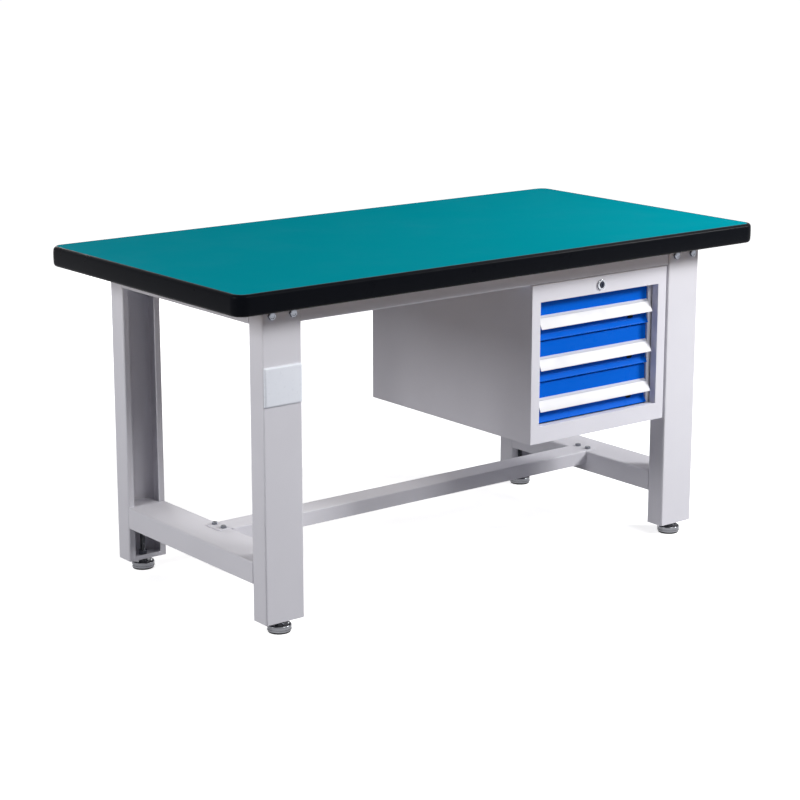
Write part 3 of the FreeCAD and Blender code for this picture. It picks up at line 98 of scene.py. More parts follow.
class Finish:
    """A procedural material whose textures are set out in the part's own metres."""

    def __init__(self, name, specular=0.5, metallic=0.0):
        self.material = bpy.data.materials.new(name)
        self.material.use_nodes = True
        self.tree = self.material.node_tree
        self.shader = self.tree.nodes["Principled BSDF"]
        self.shader.inputs["Specular IOR Level"].default_value = specular
        self.shader.inputs["Metallic"].default_value = metallic
        self.places = self.tree.nodes.new("ShaderNodeTexCoord").outputs["Object"]
        self.relief = None

    def spread(self, size, stretch=(1, 1, 1)):
        """The part's places, scaled so that one unit is one spot, longer along a stretched axis."""
        scaled = self.tree.nodes.new("ShaderNodeMapping")
        scaled.inputs["Scale"].default_value = [1 / (size * way) for way in stretch]
        self.tree.links.new(self.places, scaled.inputs["Vector"])
        return scaled.outputs["Vector"]

    def noise(self, size, detail=2.0, stretch=(1, 1, 1)):
        """Uneven spots of about one size."""
        texture = self.tree.nodes.new("ShaderNodeTexNoise")
        texture.inputs["Scale"].default_value = 1
        texture.inputs["Detail"].default_value = detail
        self.tree.links.new(self.spread(size, stretch), texture.inputs["Vector"])
        return texture.outputs[0]

    def flakes(self, size):
        """A patchwork of cells of about one size, each with its own tone."""
        texture = self.tree.nodes.new("ShaderNodeTexVoronoi")
        texture.inputs["Scale"].default_value = 1
        self.tree.links.new(self.spread(size), texture.inputs["Vector"])
        tone = self.tree.nodes.new("ShaderNodeSeparateColor")
        self.tree.links.new(texture.outputs["Color"], tone.inputs["Color"])
        return tone.outputs["Red"]

    def away(self, centre, start, end):
        """Nought near a line along Y, and one from a distance on."""
        value = self.places
        for operation, step in (("SUBTRACT", centre), ("MULTIPLY", (1, 0, 1)), ("LENGTH", None)):
            vector_math = self.tree.nodes.new("ShaderNodeVectorMath")
            vector_math.operation = operation
            self.tree.links.new(value, vector_math.inputs[0])
            if step:
                vector_math.inputs[1].default_value = step
            value = vector_math.outputs["Value" if operation == "LENGTH" else "Vector"]
        ranged = self.tree.nodes.new("ShaderNodeMapRange")
        ranged.inputs["From Min"].default_value = start
        ranged.inputs["From Max"].default_value = end
        self.tree.links.new(value, ranged.inputs["Value"])
        return ranged.outputs["Result"]

    def mixed(self, pattern, low, high):
        """A colour that runs between two tones, each of them a plain colour or a mixed one."""
        mix = self.tree.nodes.new("ShaderNodeMix")
        mix.data_type = "RGBA"
        self.tree.links.new(pattern, mix.inputs[0])
        for number, tone in ((MIX_FIRST, low), (MIX_SECOND, high)):
            if isinstance(tone, tuple):
                mix.inputs[number].default_value = tone
            else:
                self.tree.links.new(tone, mix.inputs[number])
        return mix.outputs[MIX_RESULT]

    def colour(self, pattern, low, high):
        """A base colour that runs between two tones."""
        self.tree.links.new(self.mixed(pattern, low, high), self.shader.inputs["Base Color"])

    def roughness(self, pattern, low, high):
        """A roughness that runs between two values."""
        ranged = self.tree.nodes.new("ShaderNodeMapRange")
        ranged.inputs["From Min"].default_value, ranged.inputs["From Max"].default_value = NOISE_RANGE
        ranged.inputs["To Min"].default_value = low
        ranged.inputs["To Max"].default_value = high
        self.tree.links.new(pattern, ranged.inputs["Value"])
        self.tree.links.new(ranged.outputs["Result"], self.shader.inputs["Roughness"])

    def bump(self, pattern, depth, strength):
        """Fine relief, on top of any relief that is there already."""
        raised = self.tree.nodes.new("ShaderNodeBump")
        raised.inputs["Strength"].default_value = strength
        raised.inputs["Distance"].default_value = depth
        self.tree.links.new(pattern, raised.inputs["Height"])
        if self.relief:
            self.tree.links.new(self.relief, raised.inputs["Normal"])
        self.relief = raised.outputs["Normal"]
        self.tree.links.new(self.relief, self.shader.inputs["Normal"])


def powder_coat(name, low, high, roughness, specular):
    """Baked paint: even colour, a fine orange peel and a soft gloss."""
    finish = Finish(name, specular)
    finish.colour(finish.noise(size=0.16, detail=3), low, high)
    finish.roughness(finish.noise(size=0.03), roughness - GLOSS_SPREAD, roughness + GLOSS_SPREAD)
    finish.bump(finish.noise(size=1.6 * MM, detail=1), depth=0.03 * MM, strength=0.35)
    finish.bump(finish.noise(size=0.35 * MM, detail=1), depth=0.01 * MM, strength=0.3)
    return finish.material


def work_sheet():
    """Matt sheet with a fine moulded grain and a few dull patches."""
    finish = Finish("work_surface", specular=0.001)
    finish.colour(finish.noise(size=2.5 * MM, detail=4), shade(0, 139, 153), shade(0, 147, 162))
    finish.roughness(finish.noise(size=0.12, detail=4), low=0.5, high=0.68)
    finish.bump(finish.noise(size=0.9 * MM, detail=2), depth=0.05 * MM, strength=0.4)
    return finish.material


def edge_plastic():
    """Soft black moulding with a fine grain."""
    finish = Finish("edge_band", specular=0.025)
    finish.colour(finish.noise(size=0.02, detail=3), shade(7, 9, 14), shade(11, 13, 19))
    finish.roughness(finish.noise(size=0.05, detail=3), low=0.26, high=0.36)
    finish.bump(finish.noise(size=0.8 * MM, detail=2), depth=0.02 * MM, strength=0.3)
    return finish.material


def pressed_board():
    """Chipboard: pressed flakes of several browns."""
    finish = Finish("board", specular=0.2)
    flakes = finish.flakes(size=5 * MM)
    finish.colour(flakes, shade(150, 118, 80), shade(196, 166, 124))
    finish.roughness(finish.noise(size=0.02), low=0.7, high=0.85)
    finish.bump(flakes, depth=0.1 * MM, strength=0.5)
    return finish.material


def plated_steel(name, low, high, roughness, stretch=(1, 1, 1)):
    """Bare or plated metal with a faint cloudy grain, drawn out along the way it was worked."""
    finish = Finish(name, metallic=1.0)
    finish.colour(finish.noise(size=4 * MM, detail=4, stretch=stretch), low, high)
    gloss = finish.noise(size=1.5 * MM, detail=3, stretch=stretch)
    finish.roughness(gloss, roughness - STEEL_GLOSS_SPREAD, roughness + STEEL_GLOSS_SPREAD)
    finish.bump(finish.noise(size=0.6 * MM, detail=2, stretch=stretch), depth=0.01 * MM, strength=0.3)
    return finish.material


def lock_plating():
    """Bright plating on the lock's bezel, and a painted dark reflection on the plug inside it."""
    finish = Finish("lock_chrome", metallic=1.0)
    low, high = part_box("lock_plug")
    plug = (high.x - low.x) / 2
    cloud = finish.noise(size=4 * MM, detail=4)
    # The plug's dark tones are painted dark reflection, set by the distance from the lock's axis.
    painted_dark_reflection = finish.mixed(cloud, shade(30, 33, 42), shade(52, 56, 68))
    bright = finish.mixed(cloud, shade(160, 163, 170), shade(186, 188, 194))
    outside = finish.away((low + high) / 2, start=plug + 1.0 * MM, end=plug + 1.4 * MM)
    finish.colour(outside, painted_dark_reflection, bright)
    finish.roughness(finish.noise(size=1.5 * MM, detail=3), low=0.12, high=0.24)
    finish.bump(finish.noise(size=0.6 * MM, detail=2), depth=0.01 * MM, strength=0.3)
    return finish.material


def moulded(name, low, high, roughness, specular, grain):
    """Moulded plastic or rubber with a fine grain."""
    finish = Finish(name, specular)
    finish.colour(finish.noise(size=0.03, detail=3), low, high)
    finish.roughness(finish.noise(size=0.01, detail=3), roughness - GLOSS_SPREAD, roughness + GLOSS_SPREAD)
    finish.bump(finish.noise(grain, detail=2), depth=0.04 * MM, strength=0.35)
    return finish.material


FINISHES = {
    "work_surface": work_sheet(),
    "board": pressed_board(),
    "edge_band": edge_plastic(),
    "frame_paint": powder_coat(
        "frame_paint", shade(217, 216, 222), shade(225, 224, 230), roughness=0.56, specular=0.35),
    "label_plate": moulded(
        "label_plate", shade(238, 242, 250), shade(242, 246, 253), roughness=0.3, specular=0.4,
        grain=0.5 * MM),
    # Painted dark reflection: the zinc is darkened to stand in for the dark surroundings it would mirror.
    "zinc": plated_steel(
        "zinc", shade(98, 101, 110), shade(140, 143, 150), roughness=0.26),
    # Painted dark reflection: the foot steel is darkened to stand in for the dark surroundings it would
    # mirror.
    "foot_steel": plated_steel(
        "foot_steel", shade(88, 89, 94), shade(140, 141, 145), roughness=0.16, stretch=(12, 12, 0.4)),
    "foot_rubber": moulded(
        "foot_rubber", shade(17, 17, 18), shade(27, 27, 28), roughness=0.75, specular=0.3, grain=0.8 * MM),
    "cabinet_paint": powder_coat(
        "cabinet_paint", shade(221, 220, 227), shade(229, 228, 235), roughness=0.56, specular=0.35),
    "slide_steel": plated_steel(
        "slide_steel", shade(184, 188, 194), shade(212, 214, 217), roughness=0.3, stretch=(1, 40, 1)),
    "drawer_paint": powder_coat(
        "drawer_paint", shade(0, 95, 207), shade(0, 100, 216), roughness=0.3, specular=0.04),
    "box_paint": powder_coat(
        "box_paint", shade(199, 199, 205), shade(207, 207, 213), roughness=0.45, specular=0.4),
    "handle_white": powder_coat(
        "handle_white", shade(214, 214, 217), shade(219, 219, 222), roughness=0.36, specular=0.2),
    "lock_chrome": lock_plating(),
    "lock_steel": plated_steel(
        "lock_steel", shade(128, 130, 136), shade(158, 160, 165), roughness=0.32),
}

# Mesh pieces

SMOOTH_ANGLE = math.radians(35)
BEVEL_STEPS = 2
ROUND_STEPS = 6
RING_POINTS = 60


class Shape:
    """Points and faces that become one mesh."""

    def __init__(self):
        self.points = []
        self.faces = []

    def loft(self, rings, closed=False):
        """Skin over rings of equally many points. A run that isn't closed gets a face on each end."""
        first = len(self.points)
        count = len(rings[0])
        for ring in rings:
            self.points.extend(ring)
        for step in range(len(rings) if closed else len(rings) - 1):
            here = first + step * count
            there = first + (step + 1) % len(rings) * count
            for side in range(count):
                after = (side + 1) % count
                self.faces.append((here + side, here + after, there + after, there + side))
        if not closed:
            last = first + (len(rings) - 1) * count
            self.faces.append(tuple(range(first, first + count)))
            self.faces.append(tuple(range(last, last + count)))

    def piece(self, name, body, slot, replaced=(), bevel=None):
        """The finished object: it rides on a body and may stand for CAD nodes."""
        mesh = bpy.data.meshes.new(name)
        mesh.from_pydata(self.points, [], self.faces)
        build = bmesh.new()
        build.from_mesh(mesh)
        bmesh.ops.recalc_face_normals(build, faces=build.faces)
        build.to_mesh(mesh)
        build.free()
        mesh.shade_smooth()
        mesh.set_sharp_from_angle(angle=SMOOTH_ANGLE)
        mesh.materials.append(FINISHES[slot])
        item = bpy.data.objects.new(name, mesh)
        scene.collection.objects.link(item)
        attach(item, body)
        if replaced:
            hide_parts(*replaced)
        if bevel:
            soften(item, bevel)


def soften(item, width):
    """Small rounded edges, as pressed, cast or painted edges have."""
    bevel = item.modifiers.new("bevel", "BEVEL")
    bevel.width = width
    bevel.segments = BEVEL_STEPS
    bevel.limit_method = "ANGLE"
    bevel.angle_limit = SMOOTH_ANGLE
    bevel.use_clamp_overlap = False
    bevel.harden_normals = True


def around(count):
    """Evenly spaced directions of a full turn."""
    return [2 * math.pi * step / count for step in range(count)]


def arc(middle, radius, start, end, steps):
    """Points of a circular arc, from one angle in degrees to another."""
    turns = [math.radians(start + (end - start) * step / steps) for step in range(steps + 1)]
    return [(middle[0] + radius * math.cos(turn), middle[1] + radius * math.sin(turn)) for turn in turns]


def rounded(corners, steps=5):
    """A closed outline. Each corner is its across, its up and the radius that rounds it."""
    outline = []
    for number, (across, up, radius) in enumerate(corners):
        corner = Vector((across, up))
        before = (Vector(corners[number - 1][:2]) - corner).normalized()
        after = (Vector(corners[(number + 1) % len(corners)][:2]) - corner).normalized()
        half = before.angle(after) / 2
        reach = radius / math.tan(half)
        middle = corner + (before + after).normalized() * radius / math.sin(half)
        start = corner + before * reach - middle
        end = corner + after * reach - middle
        first = math.atan2(start.y, start.x)
        sweep = math.atan2(start.x * end.y - start.y * end.x, start.dot(end))
        outline.extend(arc(middle, radius, math.degrees(first), math.degrees(first + sweep), steps))
    return outline


def lay(axis, centre, across, up, height):
    """A point beside an axis that runs along Z or Y."""
    if axis == "z":
        return (centre[0] + across, centre[1] + up, height)
    return (centre[0] + across, height, centre[1] + up)


def ring_at(axis, centre, radius, height):
    """A circle about an axis."""
    ring = []
    for turn in around(RING_POINTS):
        ring.append(lay(axis, centre, radius * math.cos(turn), radius * math.sin(turn), height))
    return ring


def turned(shape, axis, centre, profile, closed=False):
    """A solid of revolution, from pairs of radius and place along its axis. A closed profile gives a ring."""
    shape.loft([ring_at(axis, centre, radius, height) for radius, height in profile], closed)


# Bolts, nuts and threads. A share is of the width across the flats, or of the thread's pitch.

CHAMFER_SLOPE = math.tan(math.radians(60))
CHAMFER_STEPS = 5
CHAMFER_RIM = 0.96
WASHER_SHARE = 0.48
WASHER_HEIGHT = 0.6 * MM
DISH_RIM_SHARE = 0.36
DISH_FLOOR_SHARE = 0.31
DISH_DEPTH = 0.6 * MM
SHANK_CHAMFER = 0.8 * MM
BORE_SHARE = 0.32
BORE_CHAMFER = 0.7 * MM
THREAD_DEPTH_SHARE = 0.6
THREAD_RINGS = 6
THREAD_POINTS = 24
LEAD_START = 0.2
LEAD_TURNS = 2


def hex_ring(axis, centre, flats, limit, height):
    """A hexagon whose corners a turned chamfer has cut back to a limit."""
    ring = []
    for turn in around(RING_POINTS):
        sector = (turn + math.pi / 6) % (math.pi / 3) - math.pi / 6
        radius = min(flats / 2 / math.cos(sector - math.copysign(math.pi / 6, sector)), limit)
        ring.append(lay(axis, centre, radius * math.cos(turn), radius * math.sin(turn), height))
    return ring


def hex_end(axis, centre, flats, face, way):
    """Rings of a hexagon's chamfered end, from its full corners out to its face."""
    corner = flats / math.sqrt(3)
    rim = CHAMFER_RIM * flats / 2
    depth = (corner - rim) / CHAMFER_SLOPE
    rings = []
    for step in range(CHAMFER_STEPS + 1):
        share = step / CHAMFER_STEPS
        limit = corner + (rim - corner) * share
        rings.append(hex_ring(axis, centre, flats, limit, face - way * depth * (1 - share)))
    return rings


def bolt(shape, axis, centre, seat, way, flats, head, shank, grip):
    """A hexagon bolt with a washer face, a chamfered head that is dished on top, and a chamfered shank."""
    washer = seat + way * WASHER_HEIGHT
    top = seat + way * head
    rings = [
        ring_at(axis, centre, shank - SHANK_CHAMFER, seat - way * grip),
        ring_at(axis, centre, shank, seat - way * (grip - SHANK_CHAMFER)),
        ring_at(axis, centre, shank, seat),
        ring_at(axis, centre, WASHER_SHARE * flats, seat),
        ring_at(axis, centre, WASHER_SHARE * flats, washer),
        hex_ring(axis, centre, flats, flats, washer),
        *hex_end(axis, centre, flats, top, way),
        ring_at(axis, centre, DISH_RIM_SHARE * flats, top),
        ring_at(axis, centre, DISH_FLOOR_SHARE * flats, seat + way * (head - DISH_DEPTH)),
    ]
    shape.loft(rings)


def nut(shape, axis, centre, flats, start, end):
    """A hexagon nut, chamfered on both faces, with a countersunk bore."""
    bore = BORE_SHARE * flats
    rings = [
        *reversed(hex_end(axis, centre, flats, start, -1)),
        *hex_end(axis, centre, flats, end, 1),
        ring_at(axis, centre, bore + BORE_CHAMFER, end),
        ring_at(axis, centre, bore, end - BORE_CHAMFER),
        ring_at(axis, centre, bore, start + BORE_CHAMFER),
        ring_at(axis, centre, bore + BORE_CHAMFER, start),
    ]
    shape.loft(rings, closed=True)


def thread(shape, centre, radius, pitch, low, high):
    """A right-hand thread along Z, chamfered at its upper end."""
    depth = THREAD_DEPTH_SHARE * pitch
    rise = pitch / THREAD_RINGS
    rings = []
    for level in range(round((high - low) / rise) + 1):
        height = low + level * rise
        lead = min(1.0, LEAD_START + (high - height) / (LEAD_TURNS * pitch))
        ring = []
        for turn in around(THREAD_POINTS):
            phase = (height / pitch - turn / (2 * math.pi)) % 1
            reach = radius - depth * max(abs(2 * phase - 1), 1 - lead)
            ring.append(lay("z", centre, reach * math.cos(turn), reach * math.sin(turn), height))
        rings.append(ring)
    shape.loft(rings)


def solids_of(node):
    """The boxes of the separate solids of a node, as lowest and highest corners."""
    mesh = nodes[node].data
    spots = [tuple(round(value, 6) for value in vertex.co) for vertex in mesh.vertices]
    owner = {spot: spot for spot in spots}

    def top(spot):
        while owner[spot] != spot:
            owner[spot] = owner[owner[spot]]
            spot = owner[spot]
        return spot

    for face in mesh.polygons:
        for index in face.vertices[1:]:
            owner[top(spots[index])] = top(spots[face.vertices[0]])
    groups = {}
    for spot in owner:
        groups.setdefault(top(spot), []).append(spot)
    boxes = []
    for group in groups.values():
        low = Vector([min(values) for values in zip(*group)])
        high = Vector([max(values) for values in zip(*group)])
        boxes.append((low, high))
    return boxes


# Worktop

BAND_ROUND = 8 * MM
BAND_CROWN = 0.5 * MM
BAND_LIP = 0.5 * MM
BAND_CORNER = 30 * MM
BAND_THIRDS = (0.33, 0.67)
BAND_STEPS = 9
CORNER_STEPS = 20
SEAM_X = 0.31
SEAM_GAP = 0.4 * MM


def band_profile(width, height):
    """The band's section as pairs of depth inward from the outside and height from its underside."""
    upper = []
    for across, up in arc((0, 0), 1, 180, 90, BAND_STEPS):
        upper.append((BAND_ROUND + (BAND_ROUND - BAND_CROWN) * across, height - BAND_ROUND * (1 - up)))
    lower = [(inward, height - up) for inward, up in reversed(upper)]
    lower_third, upper_third = (height * share for share in BAND_THIRDS)
    face = [(BAND_CROWN / 4, lower_third), (0, height / 2), (BAND_CROWN / 4, upper_third)]
    low_lip = [(width, BAND_LIP), (width - BAND_LIP, 0)]
    top_lip = [(width - BAND_LIP, height), (width, height - BAND_LIP)]
    return low_lip + lower + face + upper + top_lip


def band_path(low, high):
    """Points of the outline and the way out at each, from the seam in the rear edge all the way round."""
    path = [(SEAM_X - SEAM_GAP / 2, high.y, 0, 1)]
    corners = ((low.x, high.y, 90), (low.x, low.y, 180), (high.x, low.y, 270), (high.x, high.y, 0))
    for x, y, start in corners:
        middle_x = x - math.copysign(BAND_CORNER, x)
        middle_y = y - math.copysign(BAND_CORNER, y)
        for out_x, out_y in arc((0, 0), 1, start, start + 90, CORNER_STEPS):
            path.append((middle_x + BAND_CORNER * out_x, middle_y + BAND_CORNER * out_y, out_x, out_y))
    path.append((SEAM_X + SEAM_GAP / 2, high.y, 0, 1))
    return path


def edge_band():
    """The black moulding round the worktop, with one butt seam at the back."""
    low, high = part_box("edge_band")
    profile = band_profile(high.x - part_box("top_surface_sheet")[1].x, high.z - low.z)
    rings = []
    for x, y, out_x, out_y in band_path(low, high):
        rings.append([(x - out_x * inward, y - out_y * inward, low.z + up) for inward, up in profile])
    shape = Shape()
    shape.loft(rings)
    shape.piece("edge_moulding", "bench", "edge_band", ["edge_band"])


# Blank plate on the front left leg. Each rim is a share of the slope inward and of the plate's thickness.

PLATE_CORNER = 3 * MM
PLATE_SLOPE = 3.5 * MM
PLATE_RIMS = ((0, 0), (0, 0.6), (0.05, 0.66), (0.85, 0.95), (1.0, 0.99), (1.3, 1))


def blank_plate():
    """A bare moulded plate with a sloped rim."""
    low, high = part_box("blank_label_plate")
    rings = []
    for inset, rise in PLATE_RIMS:
        step = inset * PLATE_SLOPE
        left, right = low.x + step, high.x - step
        bottom, top = low.z + step, high.z - step
        corners = [(left, bottom), (right, bottom), (right, top), (left, top)]
        ring = rounded([(*corner, PLATE_CORNER) for corner in corners])
        rings.append([(across, high.y + (low.y - high.y) * rise, up) for across, up in ring])
    shape = Shape()
    shape.loft(rings)
    shape.piece("blank_plate", "bench", "label_plate", ["blank_label_plate"])


# Bolts and nuts of the frame

APRON_BOLT_RADIUS = 5 * MM
SMALL_BOLT_RADIUS = 4 * MM


def apron_bolts():
    """Two bolts through the face of each leg."""
    shape = Shape()
    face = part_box("leg_rear_left")[1].y
    for low, high in solids_of("apron_bolts"):
        way = 1 if low.y > 0 else -1
        centre = ((low.x + high.x) / 2, (low.z + high.z) / 2)
        head = max(high.y, -low.y) - face
        grip = face - min(abs(low.y), abs(high.y))
        bolt(shape, "y", centre, way * face, way, high.z - low.z, head, APRON_BOLT_RADIUS, grip)
    shape.piece("apron_bolt_set", "bench", "zinc", ["apron_bolts"])


def upright_bolts(node, seat, way):
    """Bolts along Z, with their heads above or below a seat."""
    shape = Shape()
    for low, high in solids_of(node):
        centre = ((low.x + high.x) / 2, (low.y + high.y) / 2)
        head = high.z - seat if way > 0 else seat - low.z
        grip = seat - low.z if way > 0 else high.z - seat
        bolt(shape, "z", centre, seat, way, high.y - low.y, head, SMALL_BOLT_RADIUS, grip)
    shape.piece(f"{node}_set", "bench", "zinc", [node])


def frame_nuts():
    """The nuts of all those bolts and the weld nuts of the feet."""
    shape = Shape()
    for low, high in solids_of("frame_nuts"):
        size = high - low
        if size.y < size.z:
            centre = ((low.x + high.x) / 2, (low.z + high.z) / 2)
            nut(shape, "y", centre, size.z, low.y, high.y)
        else:
            centre = ((low.x + high.x) / 2, (low.y + high.y) / 2)
            nut(shape, "z", centre, size.y, low.z, high.z)
    shape.piece("frame_nut_set", "bench", "zinc", ["frame_nuts"])


# Levelling feet. The groove's share is of the base's height, and the pad's numbers are shares of its radius.

FOOT_HEIGHT = 14 * MM
FOOT_ROUND = 3 * MM
FOOT_DISH_EDGE = 2 * FOOT_ROUND
FOOT_DISH_FLOOR = 2.3 * FOOT_ROUND
COLLAR_RADIUS = 11 * MM
LOCK_NUT_HEIGHT = 7 * MM
LOCK_NUT_FLATS = 19 * MM
STUD_RADIUS = 6 * MM
STUD_PITCH = 1.75 * MM
GROOVE = 0.8 * MM
GROOVE_SHARE = 0.3
PAD_MIDDLE = 0.16
PAD_RIBS = ((0.26, 0.46), (0.56, 0.76), (0.84, 0.97))


def foot_profile(radius, low, collar_top):
    """The turned base: a chamfered rim with a groove, a rounded shoulder, a dished top and a collar."""
    top = low + FOOT_HEIGHT
    groove_low = low + GROOVE_SHARE * FOOT_HEIGHT
    shoulder = arc((radius - FOOT_ROUND, top - FOOT_ROUND), FOOT_ROUND, 0, 90, ROUND_STEPS)
    return [
        (radius - GROOVE, low),
        (radius, low + GROOVE),
        (radius, groove_low),
        (radius - GROOVE, groove_low + GROOVE / 2),
        (radius - GROOVE, groove_low + 2 * GROOVE),
        (radius, groove_low + 2.5 * GROOVE),
        *shoulder,
        (radius - FOOT_DISH_EDGE, top),
        (radius - FOOT_DISH_FLOOR, top - GROOVE),
        (COLLAR_RADIUS + GROOVE, top - GROOVE),
        (COLLAR_RADIUS, top),
        (COLLAR_RADIUS, collar_top - GROOVE),
        (COLLAR_RADIUS - GROOVE, collar_top),
    ]


def levelling_foot(corner):
    """A turned steel base with a threaded stud and its lock nut."""
    low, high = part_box(f"levelling_foot_{corner}")
    centre = ((low.x + high.x) / 2, (low.y + high.y) / 2)
    nut_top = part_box("leg_base_plates")[0].z
    collar_top = nut_top - LOCK_NUT_HEIGHT
    shape = Shape()
    turned(shape, "z", centre, foot_profile((high.x - low.x) / 2, low.z, collar_top))
    nut(shape, "z", centre, LOCK_NUT_FLATS, collar_top, nut_top)
    thread(shape, centre, STUD_RADIUS, STUD_PITCH, collar_top - GROOVE, high.z)
    shape.piece(f"turned_foot_{corner}", f"foot_{corner}", "foot_steel", [f"levelling_foot_{corner}"])


def foot_pad(corner):
    """A rubber pad with round ribs underneath."""
    low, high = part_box(f"foot_pad_{corner}")
    centre = ((low.x + high.x) / 2, (low.y + high.y) / 2)
    radius = (high.x - low.x) / 2
    between = low.z + GROOVE
    profile = [(PAD_MIDDLE * radius, between)]
    for inner, outer in PAD_RIBS:
        profile.append((inner * radius - GROOVE / 2, between))
        profile.append((inner * radius, low.z))
        profile.append((outer * radius, low.z))
        profile.append((outer * radius + GROOVE / 2, between))
    profile.append((radius, low.z + 2 * GROOVE))
    profile.append((radius, high.z - GROOVE / 2))
    profile.append((radius - GROOVE / 2, high.z))
    shape = Shape()
    turned(shape, "z", centre, profile)
    shape.piece(f"ribbed_pad_{corner}", f"foot_{corner}", "foot_rubber", [f"foot_pad_{corner}"])


# Drawer handles, box rims and catch buttons

LEDGE_FORWARD = 9 * MM
LEDGE_DROP = 5 * MM
HANDLE_WALL = 2.2 * MM
HANDLE_ROOT = 3.3 * MM
HANDLE_FLANGE = 18 * MM
SLOT_START = 0.8 * MM
SLOT_WIDTH = 1.3 * MM
SLOT_DEPTH = 1.5 * MM
SLOT_ROUND = 0.1 * MM
BACK_ROUND = 0.3 * MM
FLANGE_ROUND = 0.4 * MM
LEDGE_ROUND = 0.5 * MM
GRIP_ROUND = 0.8 * MM
HOLLOW_ROUND = 1.0 * MM
HANDLE_END_ROUND = 0.3 * MM


def drawer_handle(drawer):
    """A full-width finger pull: flange, ledge with a fine slot along its edge, and a sloped grip."""
    low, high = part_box(f"drawer_handle_{drawer}")
    ledge = high.y - LEDGE_FORWARD
    crease = high.z - LEDGE_DROP
    along = Vector((LEDGE_FORWARD, LEDGE_DROP)).normalized()
    deep = SLOT_DEPTH * Vector((along.y, -along.x))
    near_slot = Vector((ledge, crease)) + SLOT_START * along
    far_slot = near_slot + SLOT_WIDTH * along
    corners = [
        (high.y, high.z, BACK_ROUND),
        (*far_slot, SLOT_ROUND),
        (*(far_slot + deep), SLOT_ROUND),
        (*(near_slot + deep), SLOT_ROUND),
        (*near_slot, SLOT_ROUND),
        (ledge, crease, LEDGE_ROUND),
        (low.y, low.z, GRIP_ROUND),
        (low.y + HANDLE_WALL, low.z, GRIP_ROUND),
        (ledge + HANDLE_WALL / 2, crease - HANDLE_WALL, HOLLOW_ROUND),
        (high.y - HANDLE_WALL, high.z - HANDLE_ROOT, LEDGE_ROUND),
        (high.y - HANDLE_WALL, high.z - HANDLE_FLANGE, FLANGE_ROUND),
        (high.y, high.z - HANDLE_FLANGE, BACK_ROUND),
    ]
    outline = rounded(corners)
    shape = Shape()
    shape.loft([[(x, across, up) for across, up in outline] for x in (low.x, high.x)])
    shape.piece(f"handle_{drawer}", f"drawer_{drawer}", "handle_white", [f"drawer_handle_{drawer}"],
                bevel=HANDLE_END_ROUND)


HEM_WIDTH = 3 * MM
HEM_HEIGHT = 7 * MM
HEM_PROUD = 0.3 * MM
HEM_EDGE_ROUND = 0.4 * MM
HEM_FOLD_ROUND = 1.4 * MM
BOX_CATCH_REACH = 25 * MM


def drawer_rim(drawer):
    """The folded hem along the upper edges of a drawer's box."""
    low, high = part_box(f"drawer_box_{drawer}")
    rear = high.y - BOX_CATCH_REACH
    section = rounded([
        (0, -HEM_HEIGHT, HEM_EDGE_ROUND),
        (HEM_WIDTH, -HEM_HEIGHT, HEM_EDGE_ROUND),
        (HEM_WIDTH, HEM_PROUD, HEM_FOLD_ROUND),
        (0, HEM_PROUD, HEM_FOLD_ROUND),
    ])
    corners = ((low.x, low.y, 1, 1), (high.x, low.y, -1, 1), (high.x, rear, -1, -1), (low.x, rear, 1, -1))
    rings = []
    for x, y, in_x, in_y in corners:
        rings.append([(x + in_x * inward, y + in_y * inward, high.z + up) for inward, up in section])
    shape = Shape()
    shape.loft(rings, closed=True)
    shape.piece(f"box_hem_{drawer}", f"drawer_{drawer}", "box_paint")


BUTTON_INSET = 53 * MM
BUTTON_RISE = 20 * MM
BUTTON_HALF = (9 * MM, 4 * MM)
BUTTON_RINGS = ((1, 0), (1, 0.5), (0.94, 0.85), (0.8, 1), (0.72, 0.8), (0.3, 0.85))
BUTTON_PROUD = 2 * MM
BUTTON_POINTS = 40


def catch_button(drawer):
    """A dark oval button under the handle, with a dished face."""
    low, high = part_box(f"drawer_front_{drawer}")
    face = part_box(f"drawer_handle_{drawer}")[1].y
    rings = []
    for share, rise in BUTTON_RINGS:
        ring = []
        for turn in around(BUTTON_POINTS):
            across = high.x - BUTTON_INSET + share * BUTTON_HALF[0] * math.cos(turn)
            up = low.z + BUTTON_RISE + share * BUTTON_HALF[1] * math.sin(turn)
            ring.append((across, face - rise * BUTTON_PROUD, up))
        rings.append(ring)
    shape = Shape()
    shape.loft(rings)
    shape.piece(f"catch_button_{drawer}", f"drawer_{drawer}", "edge_band")


# Lock. The bezel's face is set out by shares of its radius, each with its depth below the front.

BARREL_RADIUS = 9.5 * MM
BEZEL_ROUND = 1.4 * MM
BEZEL_FACE = ((0.84, 0), (0.81, 0.4 * MM), (0.76, 0.4 * MM), (0.73, 0), (0.66, 0))
THROAT_SLOPE = 0.3 * MM
THROAT_DEPTH = 1.2 * MM
PLUG_BORE = 6.6 * MM
PLUG_BORE_DEPTH = 1.6 * MM


def lock_housing():
    """A turned bezel with a rounded rim and a fine groove, on its barrel."""
    low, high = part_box("lock_housing")
    centre = ((low.x + high.x) / 2, (low.z + high.z) / 2)
    radius = (high.x - low.x) / 2
    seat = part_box("cabinet_front_frame")[0].y
    corner = arc((radius - BEZEL_ROUND, 0), BEZEL_ROUND, 0, 90, ROUND_STEPS)
    profile = [
        (PLUG_BORE, high.y),
        (BARREL_RADIUS, high.y),
        (BARREL_RADIUS, seat),
        (radius, seat),
        *((across, low.y + BEZEL_ROUND - up) for across, up in corner),
        *((share * radius, low.y + depth) for share, depth in BEZEL_FACE),
        (PLUG_BORE + THROAT_SLOPE, low.y + THROAT_DEPTH),
        (PLUG_BORE, low.y + PLUG_BORE_DEPTH),
    ]
    shape = Shape()
    turned(shape, "y", centre, profile, closed=True)
    shape.piece("lock_bezel", "bench", "lock_chrome", ["lock_housing"])


# Finishes and edges of the CAD nodes

